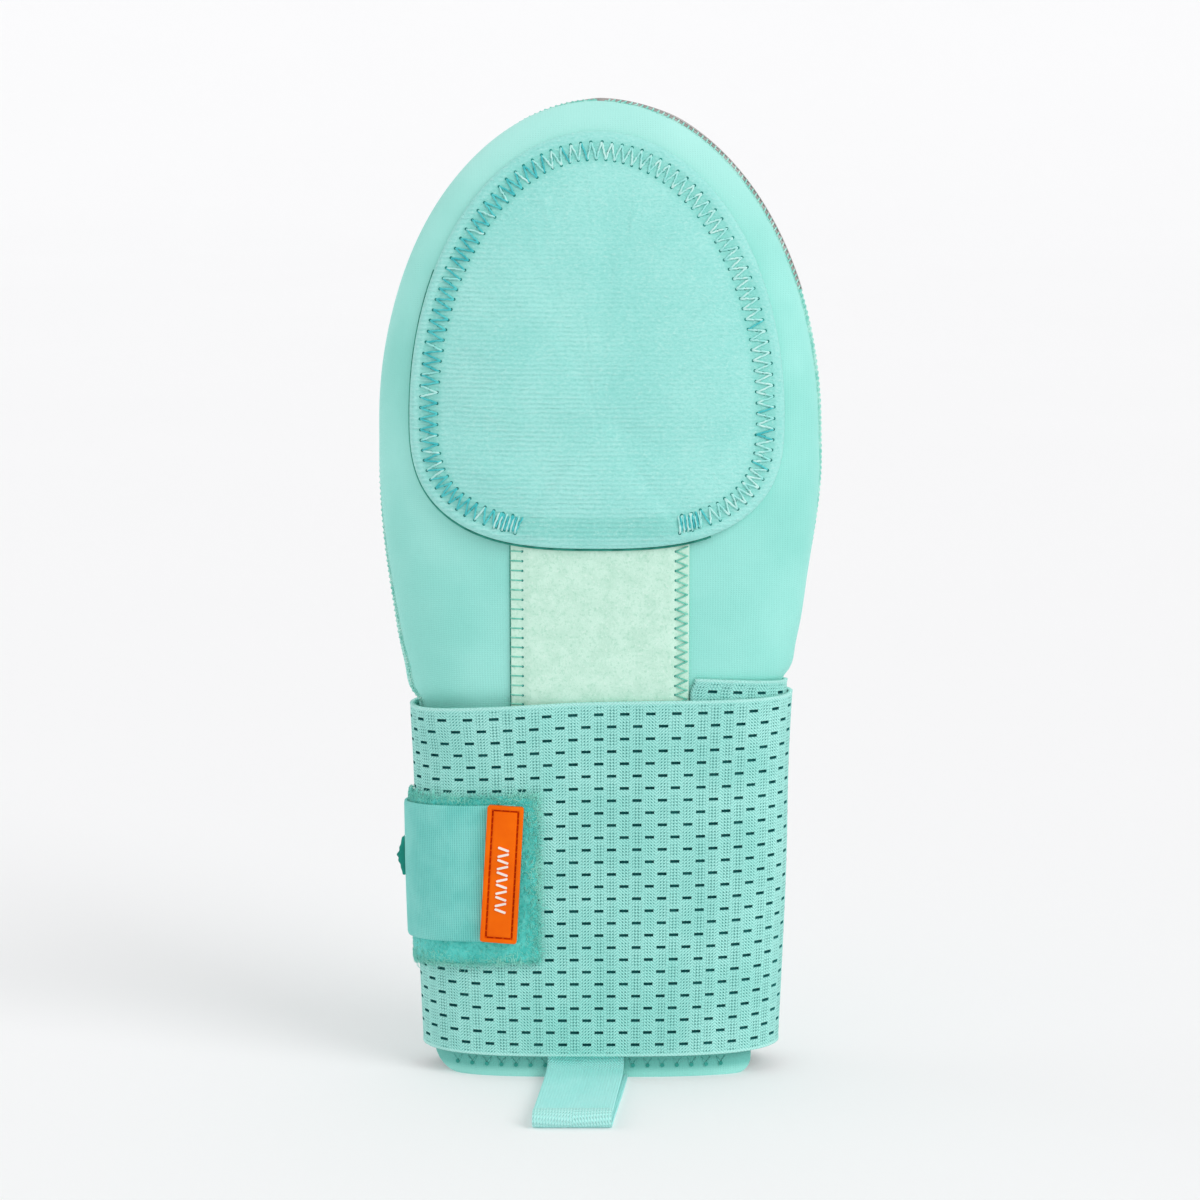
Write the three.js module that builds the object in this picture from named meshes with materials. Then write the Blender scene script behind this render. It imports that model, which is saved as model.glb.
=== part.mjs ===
// Baseball sliding mitt, standing on its cuff.
// Millimetres, +Z up, front towards -Y, +X to the viewer's right.
import * as THREE from "three";
import { LoftGeometry } from "three/addons/geometries/LoftGeometry.js";
import { mergeVertices } from "three/addons/utils/BufferGeometryUtils.js";

// Body of the mitt
const mittHeight = 272;
const mittWidth = 122.8;
const mittDepth = 41;
const crownHeight = 90.5;
const crownPower = 2.02;
const waistSlope = 3;
const neopreneThickness = 3;
const gap = 0.3;

// Hem and side slits of the cuff
const hemReachLeft = 47;
const hemReachRight = 42.5;
const hemCornerLeft = 8;
const hemCornerRight = 4;
const slitTop = 104;
const slitBlend = 12;

// Grey guard on the back of the finger end
const guardThickness = 1;
const guardDrop = 52.5;

// Oval pad
const padHalfWidth = 50.8;
const padTopHeight = 77;
const padBottomHeight = 35.3;
const padMidHeight = 186.1;
const padThickness = 3;
const padCentreX = -0.8;
const padTopPower = 2.05;
const padBottomPower = 2.8;
const padBottomEase = 0.8;
const padEdgeShare = 0.4;
const padRimShare = 0.45;
const padEnd = 0.9985;
const mouthHalfWidth = 21;
const mouthDepth = 14;

// Suede strip
const stripWidth = 49;
const stripThickness = 1;
const stripBottom = 97;
const stripTuck = 7;

// Perforated elastic
const elasticWidth = 100.6;
const elasticThickness = 1.2;
const elasticBottom = 6.6;
const wrapPitch = 1.6;
const wrapTurns = 1.512;
const taperTurns = 0.09;

// Loop tape, hook strap and its seam fold
const loopHeight = 47.5;
const loopThickness = 1.4;
const loopMidHeight = 57.5;
const loopEndX = -17.2;
const loopDrop = 3.9;
const loopBackTurn = 0.685;
const strapHeight = 38.5;
const strapThickness = 1;
const strapMidHeight = 59.3;
const strapDrop = 4.5;
const strapBackTurn = 0.6;
const foldHeight = 11;
const foldLength = 11;
const foldRise = 2.4;
const foldEdge = 0.9;
const foldPeak = 1.3;
const foldTurn = 0.74;

// Rubber label
const labelWidth = 9.3;
const labelHeight = 38.8;
const labelThickness = 1.6;
const labelBorder = 1.1;
const labelGroove = 0.5;
const labelGrooveDepth = 0.7;
const labelFieldDepth = 0.3;
const labelRamp = 0.12;
const labelX = -26.3;
const labelLean = 3;

// Pull tab
const tabWidth = 21.4;
const tabThickness = 1;
const tabReach = 55;
const tabFoldHeight = 4.4;
const tabTuck = 9;
const tabCentreX = -4;
const tabSkew = -3.6;
const tabLayerShift = 1.1;

// Mesh steps
const aroundSteps = 16;
const crownSteps = 12;
const guardSteps = 9;
const rowSpacing = 14;
const hemRows = [0, 0.06, 0.2, 0.45, 1];
const crownEnd = 0.02;
const padBottomSteps = 9;
const padTopSteps = 13;
const padAcrossSteps = 12;
const padRimSteps = [0, 0.35, 0.75];
const stripUpSteps = 12;
const stripAcrossSteps = 10;
const elasticSteps = 90;
const loopSteps = 16;
const strapSteps = 20;
const foldSteps = 6;
const tabSteps = 56;
const edgeStep = 0.0008;
const mergeDistance = 0.001;

const aqua = new THREE.MeshStandardMaterial({ color: 0x8fe3d5, roughness: 0.75, metalness: 0 });
const brushedAqua = new THREE.MeshStandardMaterial({ color: 0x93e4d9, roughness: 0.95, metalness: 0 });
const mint = new THREE.MeshStandardMaterial({ color: 0xc6eedb, roughness: 0.95, metalness: 0 });
const elasticAqua = new THREE.MeshStandardMaterial({ color: 0x86dccf, roughness: 0.85, metalness: 0 });
const loopTeal = new THREE.MeshStandardMaterial({ color: 0x62cbbf, roughness: 1, metalness: 0 });
const hookTeal = new THREE.MeshStandardMaterial({ color: 0x72d3c8, roughness: 0.8, metalness: 0 });
const foldTeal = new THREE.MeshStandardMaterial({ color: 0x1f9c8c, roughness: 0.9, metalness: 0 });
const orangeRubber = new THREE.MeshStandardMaterial({ color: 0xff6a00, roughness: 0.45, metalness: 0 });
const webbingAqua = new THREE.MeshStandardMaterial({ color: 0x8ce6da, roughness: 0.7, metalness: 0 });
const guardGrey = new THREE.MeshStandardMaterial({ color: 0x9a9897, roughness: 0.9, metalness: 0 });

// Sections of the body. level is a share of mittHeight, width of mittWidth, the next three of mittDepth.
// fullness squares the front and back.
const bodySections = [
  { level: 0, width: 0.768, front: 0.405, back: 0.395, lean: 0, fullness: 0.42 },
  { level: 0.2, width: 0.803, front: 0.405, back: 0.395, lean: 0, fullness: 0.42 },
  { level: 0.31, width: 0.811, front: 0.408, back: 0.398, lean: 0, fullness: 0.42 },
  { level: 0.385, width: 0.826, front: 0.41, back: 0.4, lean: 0, fullness: 0.42 },
  { level: 0.396, width: 0.829, front: 0.41, back: 0.4, lean: 0, fullness: 0.42 },
  { level: 0.41, width: 0.87, front: 0.428, back: 0.415, lean: 0, fullness: 0.4 },
  { level: 0.434, width: 0.892, front: 0.445, back: 0.425, lean: 0, fullness: 0.38 },
  { level: 0.462, width: 0.918, front: 0.462, back: 0.435, lean: 0, fullness: 0.36 },
  { level: 0.505, width: 0.945, front: 0.485, back: 0.45, lean: -0.005, fullness: 0.34 },
  { level: 0.565, width: 0.98, front: 0.505, back: 0.47, lean: -0.01, fullness: 0.3 },
  { level: 0.622, width: 1, front: 0.515, back: 0.48, lean: -0.01, fullness: 0.28 },
  { level: 0.667, width: 1, front: 0.515, back: 0.48, lean: 0, fullness: 0.27 },
  { level: 0.84, width: 1, front: 0.47, back: 0.44, lean: 0.03, fullness: 0.25 },
  { level: 1, width: 1, front: 0.4, back: 0.37, lean: 0.08, fullness: 0.2 },
];

// Edge seams between the panels. level is a share of mittHeight.
// right and left are how far each seam lies from the side's middle, in turns round the body.
const seamPlaces = [
  { level: 0, right: -0.03, left: -0.03 },
  { level: 0.41, right: -0.03, left: -0.03 },
  { level: 0.434, right: -0.029, left: -0.028 },
  { level: 0.462, right: -0.026, left: -0.024 },
  { level: 0.505, right: -0.02, left: -0.016 },
  { level: 0.565, right: -0.008, left: -0.004 },
  { level: 0.622, right: 0.004, left: 0.012 },
  { level: 0.667, right: 0.012, left: 0.026 },
  { level: 0.84, right: 0.018, left: 0.045 },
  { level: 1, right: 0.018, left: 0.045 },
];

// Edges of the wrapped elastic. turn is counted from the strip's right edge.
// top and bottom are how far each edge lies above its level, as shares of elasticWidth.
const wrapEdges = [
  { turn: 0, top: 0.063, bottom: 0.063 },
  { turn: 0.17, top: 0.034, bottom: 0.038 },
  { turn: 0.42, top: 0.006, bottom: 0.02 },
  { turn: 0.67, top: -0.032, bottom: 0.003 },
  { turn: 0.92, top: 0, bottom: 0 },
  { turn: 1.17, top: 0.001, bottom: 0.006 },
  { turn: 1.6, top: 0, bottom: 0 },
];

// Route of the pull tab from the hem, over its upper layer, round its fold and back underneath.
// ahead is a share of its length in front of the hem, rise of the height between its two layers.
const tabRoute = [
  { ahead: 0.01, rise: 1.09 },
  { ahead: 0.055, rise: 0.82 },
  { ahead: 0.166, rise: 0.7 },
  { ahead: 0.5, rise: 0.79 },
  { ahead: 0.85, rise: 0.94 },
  { ahead: 0.96, rise: 1 },
  { ahead: 0.99, rise: 0.5 },
  { ahead: 0.96, rise: 0 },
  { ahead: 0.85, rise: 0 },
  { ahead: 0.5, rise: 0 },
  { ahead: 0.08, rise: 0 },
  { ahead: 0, rise: 0 },
];

// Reads a table by its first column, smoothly between its rows.
function tableReader(rows, key) {
  const columns = Object.keys(rows[0]).filter((name) => name !== key);
  const samples = rows.flatMap((row) => columns.map((name) => row[name]));
  const curve = new THREE.CubicInterpolant(rows.map((row) => row[key]), samples, columns.length);
  return (place) => {
    const values = curve.evaluate(place);
    return Object.fromEntries(columns.map((name, i) => [name, values[i]]));
  };
}

const bodyAt = tableReader(bodySections, "level");
const seamAt = tableReader(seamPlaces, "level");
const wrapAt = tableReader(wrapEdges, "turn");
const crownStart = mittHeight - crownHeight;

// Size of the body's section at a height, grown outwards by a number of millimetres.
// The waist above the elastic lies higher on the right (side 1) than on the left (side -1).
function sectionAt(height, growth = 0, side = 0) {
  const aboveWaist = THREE.MathUtils.smoothstep(height, crownStart - crownHeight / 2, crownStart);
  const slant = waistSlope * side * (1 - aboveWaist);
  const level = THREE.MathUtils.clamp((height - slant) / mittHeight, 0, 1);
  const section = bodyAt(level);
  const seam = seamAt(level);
  const rise = THREE.MathUtils.clamp((height - crownStart) / crownHeight, 0, 1);
  const narrowing = (1 - rise ** crownPower) ** (1 / crownPower);
  return {
    halfWidth: (section.width * mittWidth / 2 + growth) * narrowing,
    front: (section.front * mittDepth + growth) * narrowing,
    back: (section.back * mittDepth + growth) * narrowing,
    lean: section.lean * mittDepth,
    fullness: section.fullness,
    right: seam.right,
    left: seam.left,
    height: height + rise * growth,
  };
}

// Point of the body at a height and a turn: 0 is the front's middle, 0.25 the right side, 0.5 the back.
function bodyPoint(height, turn, growth = 0) {
  const angle = turn * 2 * Math.PI;
  const section = sectionAt(height, growth, Math.sin(angle));
  const depth = Math.cos(angle) > 0 ? section.front : section.back;
  const full = 1 + section.fullness * Math.sin(angle) ** 2;
  return new THREE.Vector3(
    section.halfWidth * Math.sin(angle),
    section.lean - depth * Math.cos(angle) * full,
    section.height,
  );
}

// Point that stands off the cuff by a distance, square to its wall.
function wrappedPoint(height, turn, offset) {
  const base = bodyPoint(height, turn);
  const ahead = bodyPoint(height, turn + edgeStep);
  const behind = bodyPoint(height, turn - edgeStep);
  const along = ahead.sub(behind).setZ(0).normalize();
  return base.add(new THREE.Vector3(along.y, -along.x, 0).multiplyScalar(offset));
}

// Turn at which the front wall has a given x.
function turnOfX(x, height) {
  const side = THREE.MathUtils.clamp(x / sectionAt(height).halfWidth, -1, 1);
  return Math.asin(THREE.MathUtils.clamp(x / sectionAt(height, 0, side).halfWidth, -1, 1)) / (2 * Math.PI);
}

// Point that stands off the front wall at x and a height, square to the curved surface.
function frontPoint(x, height, offset) {
  const at = (dx, dz) => bodyPoint(height + dz, turnOfX(x + dx, height + dz));
  const step = 0.05;
  const across = at(step, 0).sub(at(-step, 0));
  const up = at(0, step).sub(at(0, -step));
  const outwards = across.cross(up).normalize();
  return at(0, 0).add(outwards.multiplyScalar(offset));
}

// Evenly spaced numbers, both ends included.
function spread(from, to, steps) {
  return Array.from({ length: steps + 1 }, (_, i) => from + ((to - from) * i) / steps);
}

const slab = (outer, inner) => ({ outer, inner });

// Closed solid lofted through slabs, each an outer line and the inner line behind it.
// Both ends close on the line midway between the two, and the triangles that this leaves flat are dropped.
function loft(slabs) {
  const rings = slabs.map(({ outer, inner }) => [...outer, ...inner.toReversed()]);
  const closing = ({ outer, inner }) => {
    const middle = outer.map((point, i) => point.clone().lerp(inner[i], 0.5));
    return [...middle, ...middle.toReversed()];
  };
  const surface = new LoftGeometry([closing(slabs[0]), ...rings, closing(slabs.at(-1))]);
  const bare = new THREE.BufferGeometry().setAttribute("position", surface.getAttribute("position"));
  const merged = mergeVertices(bare.setIndex(surface.index), mergeDistance);
  const corners = Array.from(merged.index.array);
  const kept = [];
  for (let i = 0; i < corners.length; i += 3) {
    const [a, b, c] = corners.slice(i, i + 3);
    if (a !== b && b !== c && c !== a) {
      kept.push(a, b, c);
    }
  }
  merged.setIndex(kept);
  merged.computeVertexNormals();
  return merged;
}

function piece(name, geometry, material) {
  const mesh = new THREE.Mesh(geometry, material);
  mesh.name = name;
  return mesh;
}

// Heights of the panels' rows: fine at the hem's corners, then the table's sections, then round the crown.
function panelLevels() {
  const corner = Math.max(hemCornerLeft, hemCornerRight);
  const hem = hemRows.map((share) => share * corner);
  const onShank = (z) => z > corner && z < crownStart - rowSpacing / 2;
  const levels = bodySections.map((row) => row.level * mittHeight).filter(onShank);
  const shank = levels.flatMap((z, i) => {
    const below = levels[i - 1] ?? corner;
    return z - below > rowSpacing ? [(z + below) / 2, z] : [z];
  });
  const angles = spread(0, Math.acos(crownEnd), crownSteps);
  const crown = angles.map((angle) => crownStart + crownHeight * Math.sin(angle));
  return [...hem, ...shank, ...crown];
}

// How far a panel reaches to one side of the cuff, where its hem corner is rounded.
function hemReach(height, reach, corner) {
  const below = Math.max(0, corner - height);
  return reach - (corner - Math.sqrt(corner * corner - below * below));
}

// Turn at which a panel ends, right (side 1) or left (side -1).
// It ends at the slit in the cuff, and at the edge seam above it.
function panelEdge(height, side, facing) {
  const section = sectionAt(height, 0, side);
  const seamShare = THREE.MathUtils.smoothstep(height, slitTop - slitBlend, slitTop);
  const [reach, corner, shift] = side > 0
    ? [hemReachRight, hemCornerRight, -section.right]
    : [hemReachLeft, hemCornerLeft, section.left];
  const slitTurn = Math.abs(turnOfX(side * hemReach(height, reach, corner), height));
  const halfGap = gap / 2 / (2 * Math.PI * Math.max(section.front, 1));
  const seamTurn = 0.25 + facing * shift - halfGap;
  return side * THREE.MathUtils.lerp(Math.min(slitTurn, seamTurn), seamTurn, seamShare);
}

// One neoprene panel. facing is 1 for the front and -1 for the back.
function panel(facing) {
  const sections = panelLevels().map((height) => {
    const left = panelEdge(height, -1, facing);
    const right = panelEdge(height, 1, facing);
    const turns = spread(left, right, aroundSteps).map((turn) => (facing > 0 ? turn : 0.5 - turn));
    if (facing < 0) {
      turns.reverse();
    }
    return slab(
      turns.map((turn) => bodyPoint(height, turn)),
      turns.map((turn) => bodyPoint(height, turn, -neopreneThickness)),
    );
  });
  return loft(sections);
}

// Grey layer over the back panel's finger end.
function tipGuard() {
  const low = Math.asin((mittHeight - guardDrop - crownStart) / crownHeight);
  const sections = spread(low, Math.acos(crownEnd), guardSteps).map((angle) => {
    const height = crownStart + crownHeight * Math.sin(angle);
    const turns = spread(panelEdge(height, -1, -1), panelEdge(height, 1, -1), aroundSteps);
    const backTurns = turns.map((turn) => 0.5 - turn).reverse();
    return slab(
      backTurns.map((turn) => bodyPoint(height, turn, gap + guardThickness)),
      backTurns.map((turn) => bodyPoint(height, turn, gap)),
    );
  });
  return loft(sections);
}

// Half-width of the oval pad at a height measured from its widest level.
function padReach(rise) {
  const share = rise > 0 ? rise / padTopHeight : -rise / padBottomHeight;
  const power = rise > 0 ? padTopPower : padBottomPower;
  return padHalfWidth * (1 - Math.min(1, share) ** power) ** (1 / power);
}

// How far the pad stands off the front: its open mouth at the bottom passes over the suede strip.
function padLift(x, height) {
  const inside = mouthHalfWidth + stripWidth / 2 - Math.abs(x);
  const across = THREE.MathUtils.smoothstep(inside, 0, mouthHalfWidth);
  const bottom = padMidHeight - padBottomHeight;
  const along = 1 - THREE.MathUtils.smoothstep(height, bottom + mouthDepth, bottom + 2 * mouthDepth);
  return gap + (stripThickness + gap) * across * along;
}

// Oval pad with a rounded edge, lofted upwards through its cross-sections.
function padPatch() {
  const top = padTopHeight * padEnd;
  const bottom = padBottomHeight * padEnd;
  const rises = [
    ...spread(0, Math.PI / 2, padBottomSteps).map((angle) => -bottom * Math.cos(angle) ** padBottomEase),
    ...spread(0, Math.PI / 2, padTopSteps).slice(1).map((angle) => top * Math.sin(angle)),
  ];
  const rounding = (share) => Math.sqrt(1 - (1 - share) ** 2);
  const sections = rises.map((rise) => {
    const height = padMidHeight + rise;
    const reach = padReach(rise);
    const round = Math.min(padThickness, reach * padRimShare);
    const rim = padRimSteps.map((share) => ({ x: reach - round * share, full: rounding(share) }));
    const profile = [
      ...rim.map(({ x, full }) => ({ x: -x, full })),
      ...spread(round - reach, reach - round, padAcrossSteps).map((x) => ({ x, full: 1 })),
      ...rim.toReversed(),
    ];
    const toEnd = Math.min(top - rise, rise + bottom);
    const crest = rounding(THREE.MathUtils.clamp(toEnd / padThickness, 0, 1));
    const thickness = (full) => padThickness * (padEdgeShare + (1 - padEdgeShare) * full * crest);
    const face = (x, lift) => frontPoint(padCentreX + x, height, padLift(x, height) + lift);
    return slab(
      profile.map(({ x, full }) => face(x, thickness(full))),
      profile.map(({ x }) => face(x, 0)),
    );
  });
  return loft(sections);
}

// Suede strip from under the elastic to just inside the pad's mouth.
function centreStrip() {
  const top = padMidHeight - padBottomHeight + stripTuck;
  const sections = spread(stripBottom, top, stripUpSteps).map((height) => {
    const places = spread(-stripWidth / 2, stripWidth / 2, stripAcrossSteps);
    return slab(
      places.map((x) => frontPoint(x, height, gap + stripThickness)),
      places.map((x) => frontPoint(x, height, gap)),
    );
  });
  return loft(sections);
}

// The elastic starts beside the strip's right edge and climbs by its own thickness as it winds.
const wrapStart = turnOfX(stripWidth / 2 + gap, elasticBottom + elasticWidth);
const wrapOffset = (turn) => gap + wrapPitch * (turn - wrapStart);

// Closed band between two edges that follow the wall of the cuff, which is nearly straight in height.
function wrappedBand(turns, bottomAt, topAt, innerAt, thickness, heightSteps = 3) {
  const sections = turns.map((turn) => {
    const heights = spread(bottomAt(turn), topAt(turn), heightSteps);
    return slab(
      heights.map((height) => wrappedPoint(height, turn, innerAt(turn) + thickness)),
      heights.map((height) => wrappedPoint(height, turn, innerAt(turn))),
    );
  });
  return loft(sections.reverse());
}

// Elastic wound round the cuff, its last stretch narrowing to the strap that is sewn to it.
function elasticBand() {
  const end = wrapStart + wrapTurns;
  const turns = spread(wrapStart, end, elasticSteps);
  const taper = (turn) => THREE.MathUtils.smoothstep(turn, end - taperTurns, end);
  const bottom = (turn) => {
    const straight = elasticBottom + elasticWidth * wrapAt(turn - wrapStart).bottom;
    return THREE.MathUtils.lerp(straight, strapMiddle(strapBackTurn) - strapHeight / 2 - gap, taper(turn));
  };
  const top = (turn) => {
    const straight = elasticBottom + elasticWidth * (1 + wrapAt(turn - wrapStart).top);
    return THREE.MathUtils.lerp(straight, strapMiddle(strapBackTurn) + strapHeight / 2 + gap, taper(turn));
  };
  return wrappedBand(turns, bottom, top, wrapOffset, elasticThickness);
}

// Faces of the tapes that lie on the elastic at the front left.
const loopInner = (turn) => wrapOffset(turn) + elasticThickness + gap;
const strapInner = (turn) => loopInner(turn) + loopThickness + gap;
const strapOuter = (turn) => strapInner(turn) + strapThickness;

// Middle of the loop tape: it drops a little towards the left side.
const loopEndTurn = 1 + turnOfX(loopEndX, loopMidHeight);
const loopShare = (turn) => (loopEndTurn - turn) / (loopEndTurn - loopBackTurn);
const loopMiddle = (turn) => loopMidHeight - loopDrop * loopShare(turn);

function loopPatch() {
  const turns = spread(loopBackTurn, loopEndTurn, loopSteps);
  const bottom = (turn) => loopMiddle(turn) - loopHeight / 2;
  const top = (turn) => loopMiddle(turn) + loopHeight / 2;
  return wrappedBand(turns, bottom, top, loopInner, loopThickness);
}

// Middle of the hook strap: it drops towards the back, where it joins the elastic's tapered end.
const labelTurn = 1 + turnOfX(labelX, strapMidHeight);
const strapShare = (turn) => (labelTurn - turn) / (labelTurn - strapBackTurn);
const strapMiddle = (turn) => strapMidHeight - strapDrop * strapShare(turn);

function hookStrap() {
  const end = 1 + turnOfX(labelX + labelWidth / 2 - labelBorder, strapMidHeight);
  const turns = spread(strapBackTurn, end, strapSteps);
  const bottom = (turn) => strapMiddle(turn) - strapHeight / 2;
  const top = (turn) => strapMiddle(turn) + strapHeight / 2;
  return wrappedBand(turns, bottom, top, strapInner, strapThickness);
}

// Folded end of the seam behind the strap, thickest in its middle.
function strapSeamFold() {
  const girth = 2 * Math.PI * sectionAt(strapMidHeight).back;
  const turns = spread(foldTurn - foldLength / girth, foldTurn, foldSteps);
  const sections = turns.map((turn) => {
    const heights = spread(-1, 1, foldSteps);
    const level = (share) => strapMidHeight + (share * foldHeight) / 2;
    const rise = (share) => foldEdge + (foldRise - foldEdge) * (1 - Math.abs(share)) ** foldPeak;
    return slab(
      heights.map((share) => wrappedPoint(level(share), turn, strapOuter(turn) + gap + rise(share))),
      heights.map((share) => wrappedPoint(level(share), turn, strapOuter(turn) + gap)),
    );
  });
  return loft(sections.reverse());
}

// Label's thickness at a distance from its edge: border, groove, then a flat field.
function labelRelief(distance) {
  if (distance < labelBorder) {
    return labelThickness;
  }
  const depth = distance < labelBorder + labelGroove ? labelGrooveDepth : labelFieldDepth;
  return labelThickness - depth;
}

// Moulded label that lies on the strap's free end, leaning a little.
function rubberLabel() {
  const grooveEnd = labelBorder + labelGroove;
  const marks = [0, labelBorder - labelRamp, labelBorder, grooveEnd - labelRamp, grooveEnd];
  const stations = (length) => [...marks, ...marks.map((mark) => length - mark).reverse()];
  const lean = THREE.MathUtils.degToRad(labelLean);
  const bottom = (u, v) => {
    const across = u - labelWidth / 2;
    const up = v - labelHeight / 2;
    const x = labelX + across * Math.cos(lean) + up * Math.sin(lean);
    const height = strapMiddle(labelTurn) - across * Math.sin(lean) + up * Math.cos(lean);
    return { turn: 1 + turnOfX(x, height), height };
  };
  const point = (u, v, rise) => {
    const { turn, height } = bottom(u, v);
    return wrappedPoint(height, turn, strapOuter(turn) + gap + rise);
  };
  const sections = stations(labelHeight).map((v) => {
    const across = stations(labelWidth);
    const depth = (u) => labelRelief(Math.min(u, labelWidth - u, v, labelHeight - v));
    return slab(
      across.map((u) => point(u, v, depth(u))),
      across.map((u) => point(u, v, 0)),
    );
  });
  return loft(sections);
}

// Webbing loop, folded double: from under the elastic it drops before the hem and lies forward.
function pullTab() {
  const half = tabThickness / 2;
  const wall = -sectionAt(0).front;
  const start = wall - gap - half;
  const length = tabReach - gap - half;
  const route = [
    { y: start, z: elasticBottom + tabTuck },
    { y: start, z: elasticBottom + tabThickness },
    ...tabRoute.map(({ ahead, rise }) => ({
      y: start - ahead * length,
      z: half + rise * (tabFoldHeight - tabThickness),
    })),
  ];
  const points = route.map(({ y, z }) => new THREE.Vector3(0, y, z));
  const curve = new THREE.CatmullRomCurve3(points, false, "centripetal");
  const face = (share, across, offset) => {
    const point = curve.getPoint(share);
    const along = curve.getTangent(share);
    const forward = (start - point.y) / length;
    const layer = THREE.MathUtils.smoothstep(share, 0.5, 1) * tabLayerShift;
    return new THREE.Vector3(
      tabCentreX + across + tabSkew * forward + layer,
      point.y - along.z * offset,
      Math.max(point.z, half) + along.y * offset,
    );
  };
  const sections = [tabWidth / 2, 0, -tabWidth / 2].map((across) => {
    const line = (offset) => spread(0, 1, tabSteps).map((share) => face(share, across, offset));
    return slab(line(half), line(-half));
  });
  return loft(sections);
}

const mitt = new THREE.Group();
mitt.add(
  piece("front_panel", panel(1), aqua),
  piece("back_panel", panel(-1), aqua),
  piece("tip_guard", tipGuard(), guardGrey),
  piece("pad_patch", padPatch(), brushedAqua),
  piece("centre_strip", centreStrip(), mint),
  piece("elastic_band", elasticBand(), elasticAqua),
  piece("loop_patch", loopPatch(), loopTeal),
  piece("hook_strap", hookStrap(), hookTeal),
  piece("strap_seam_fold", strapSeamFold(), foldTeal),
  piece("rubber_label", rubberLabel(), orangeRubber),
  piece("pull_tab", pullTab(), webbingAqua),
);

// The origin is the middle of the footprint's box, on the surface that the mitt stands on.
const box = new THREE.Box3().setFromObject(mitt, true);
const centre = box.getCenter(new THREE.Vector3());
mitt.position.set(-centre.x, -centre.y, -box.min.z);

export default mitt;
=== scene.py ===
"""Looks of the baseball sliding mitt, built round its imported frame.

Shapes are worked out in millimetres, in the model's own frame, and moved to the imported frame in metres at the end.
The mitt stands on its cuff, front towards -Y, +X to the viewer's right, +Z up.
"""

import logging
import math
import random
from bisect import bisect
from dataclasses import dataclass, field
from enum import Enum
from functools import lru_cache
from itertools import accumulate
from typing import Callable, Iterable, NamedTuple, Sequence

import bmesh
import bpy
from bmesh.types import BMEdge, BMesh, BMFace, BMLayerItem, BMVert
from mathutils import Matrix, Vector, noise
from mathutils.bvhtree import BVHTree

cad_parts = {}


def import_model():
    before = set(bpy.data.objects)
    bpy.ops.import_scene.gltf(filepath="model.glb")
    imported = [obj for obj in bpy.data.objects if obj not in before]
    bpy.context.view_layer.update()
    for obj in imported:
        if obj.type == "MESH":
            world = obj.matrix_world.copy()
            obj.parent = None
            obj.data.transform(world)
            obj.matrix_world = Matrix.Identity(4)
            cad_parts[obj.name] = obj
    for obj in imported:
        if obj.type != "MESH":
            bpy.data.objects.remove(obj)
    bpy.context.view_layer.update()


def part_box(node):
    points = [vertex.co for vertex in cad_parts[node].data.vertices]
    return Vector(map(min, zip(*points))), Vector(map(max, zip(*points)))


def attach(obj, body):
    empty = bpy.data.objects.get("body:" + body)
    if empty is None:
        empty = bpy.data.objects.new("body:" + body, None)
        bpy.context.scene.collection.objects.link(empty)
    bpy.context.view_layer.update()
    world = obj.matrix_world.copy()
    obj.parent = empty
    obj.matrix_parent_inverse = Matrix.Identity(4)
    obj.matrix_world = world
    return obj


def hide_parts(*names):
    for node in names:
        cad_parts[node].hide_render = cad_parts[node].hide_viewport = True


LOG = logging.getLogger("sliding_mitt")
MM = 0.001
TURN = 2 * math.pi
GAP = 0.3
VIEW_HEIGHT = 132.9

Place = Callable[[float, float], Vector]
Weave = Callable[[float, float], tuple[float, float]]
Runs = list[list[Vector]]
Spot = tuple[Vector, Vector]
Tone = tuple[int, int, int]
Socket = bpy.types.NodeSocket


def smoothstep(value: float, low: float, high: float) -> float:
    """Rises smoothly from 0 at low to 1 at high."""
    share = min(1.0, max(0.0, (value - low) / (high - low)))
    return share * share * (3 - 2 * share)


def spread(start: float, end: float, steps: int) -> list[float]:
    """Evenly spaced numbers, both ends included."""
    return [start + (end - start) * i / steps for i in range(steps + 1)]


def walked_along(points: Sequence[Vector]) -> list[float]:
    """Length walked along a line at each of its points."""
    steps = [(second - first).length for first, second in zip(points, points[1:])]
    return list(accumulate(steps, initial=0.0))


def place_among(knots: Sequence[float], value: float) -> tuple[int, float]:
    """Place of a value among rising knots: the knot after it and its share of the way there."""
    i = min(max(bisect(knots, value), 1), len(knots) - 1)
    return i, (value - knots[i - 1]) / max(knots[i] - knots[i - 1], 1e-9)


def linear(colour: Tone) -> tuple[float, float, float, float]:
    """A colour seen on screen, 0 to 255, as the shader's linear one.

    Args:
        colour: Red, green and blue.

    Returns:
        Red, green, blue and alpha, 0 to 1.
    """
    shares = [channel / 255 for channel in colour]
    made = [s / 12.92 if s <= 0.04045 else ((s + 0.055) / 1.055) ** 2.4 for s in shares]
    return made[0], made[1], made[2], 1.0


class Section(NamedTuple):
    """Cross-section of the body. level is a share of its height, width of its width, the next three of its depth."""

    level: float
    width: float
    front: float
    back: float
    lean: float
    fullness: float


class Seam(NamedTuple):
    """Edge seams at a level, a share of the height: how far each lies from the side's middle, in turns."""

    level: float
    right: float
    left: float


class WrapEdge(NamedTuple):
    """Edges of the wound elastic at a turn, raised by shares of its width."""

    turn: float
    top: float
    bottom: float


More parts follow.
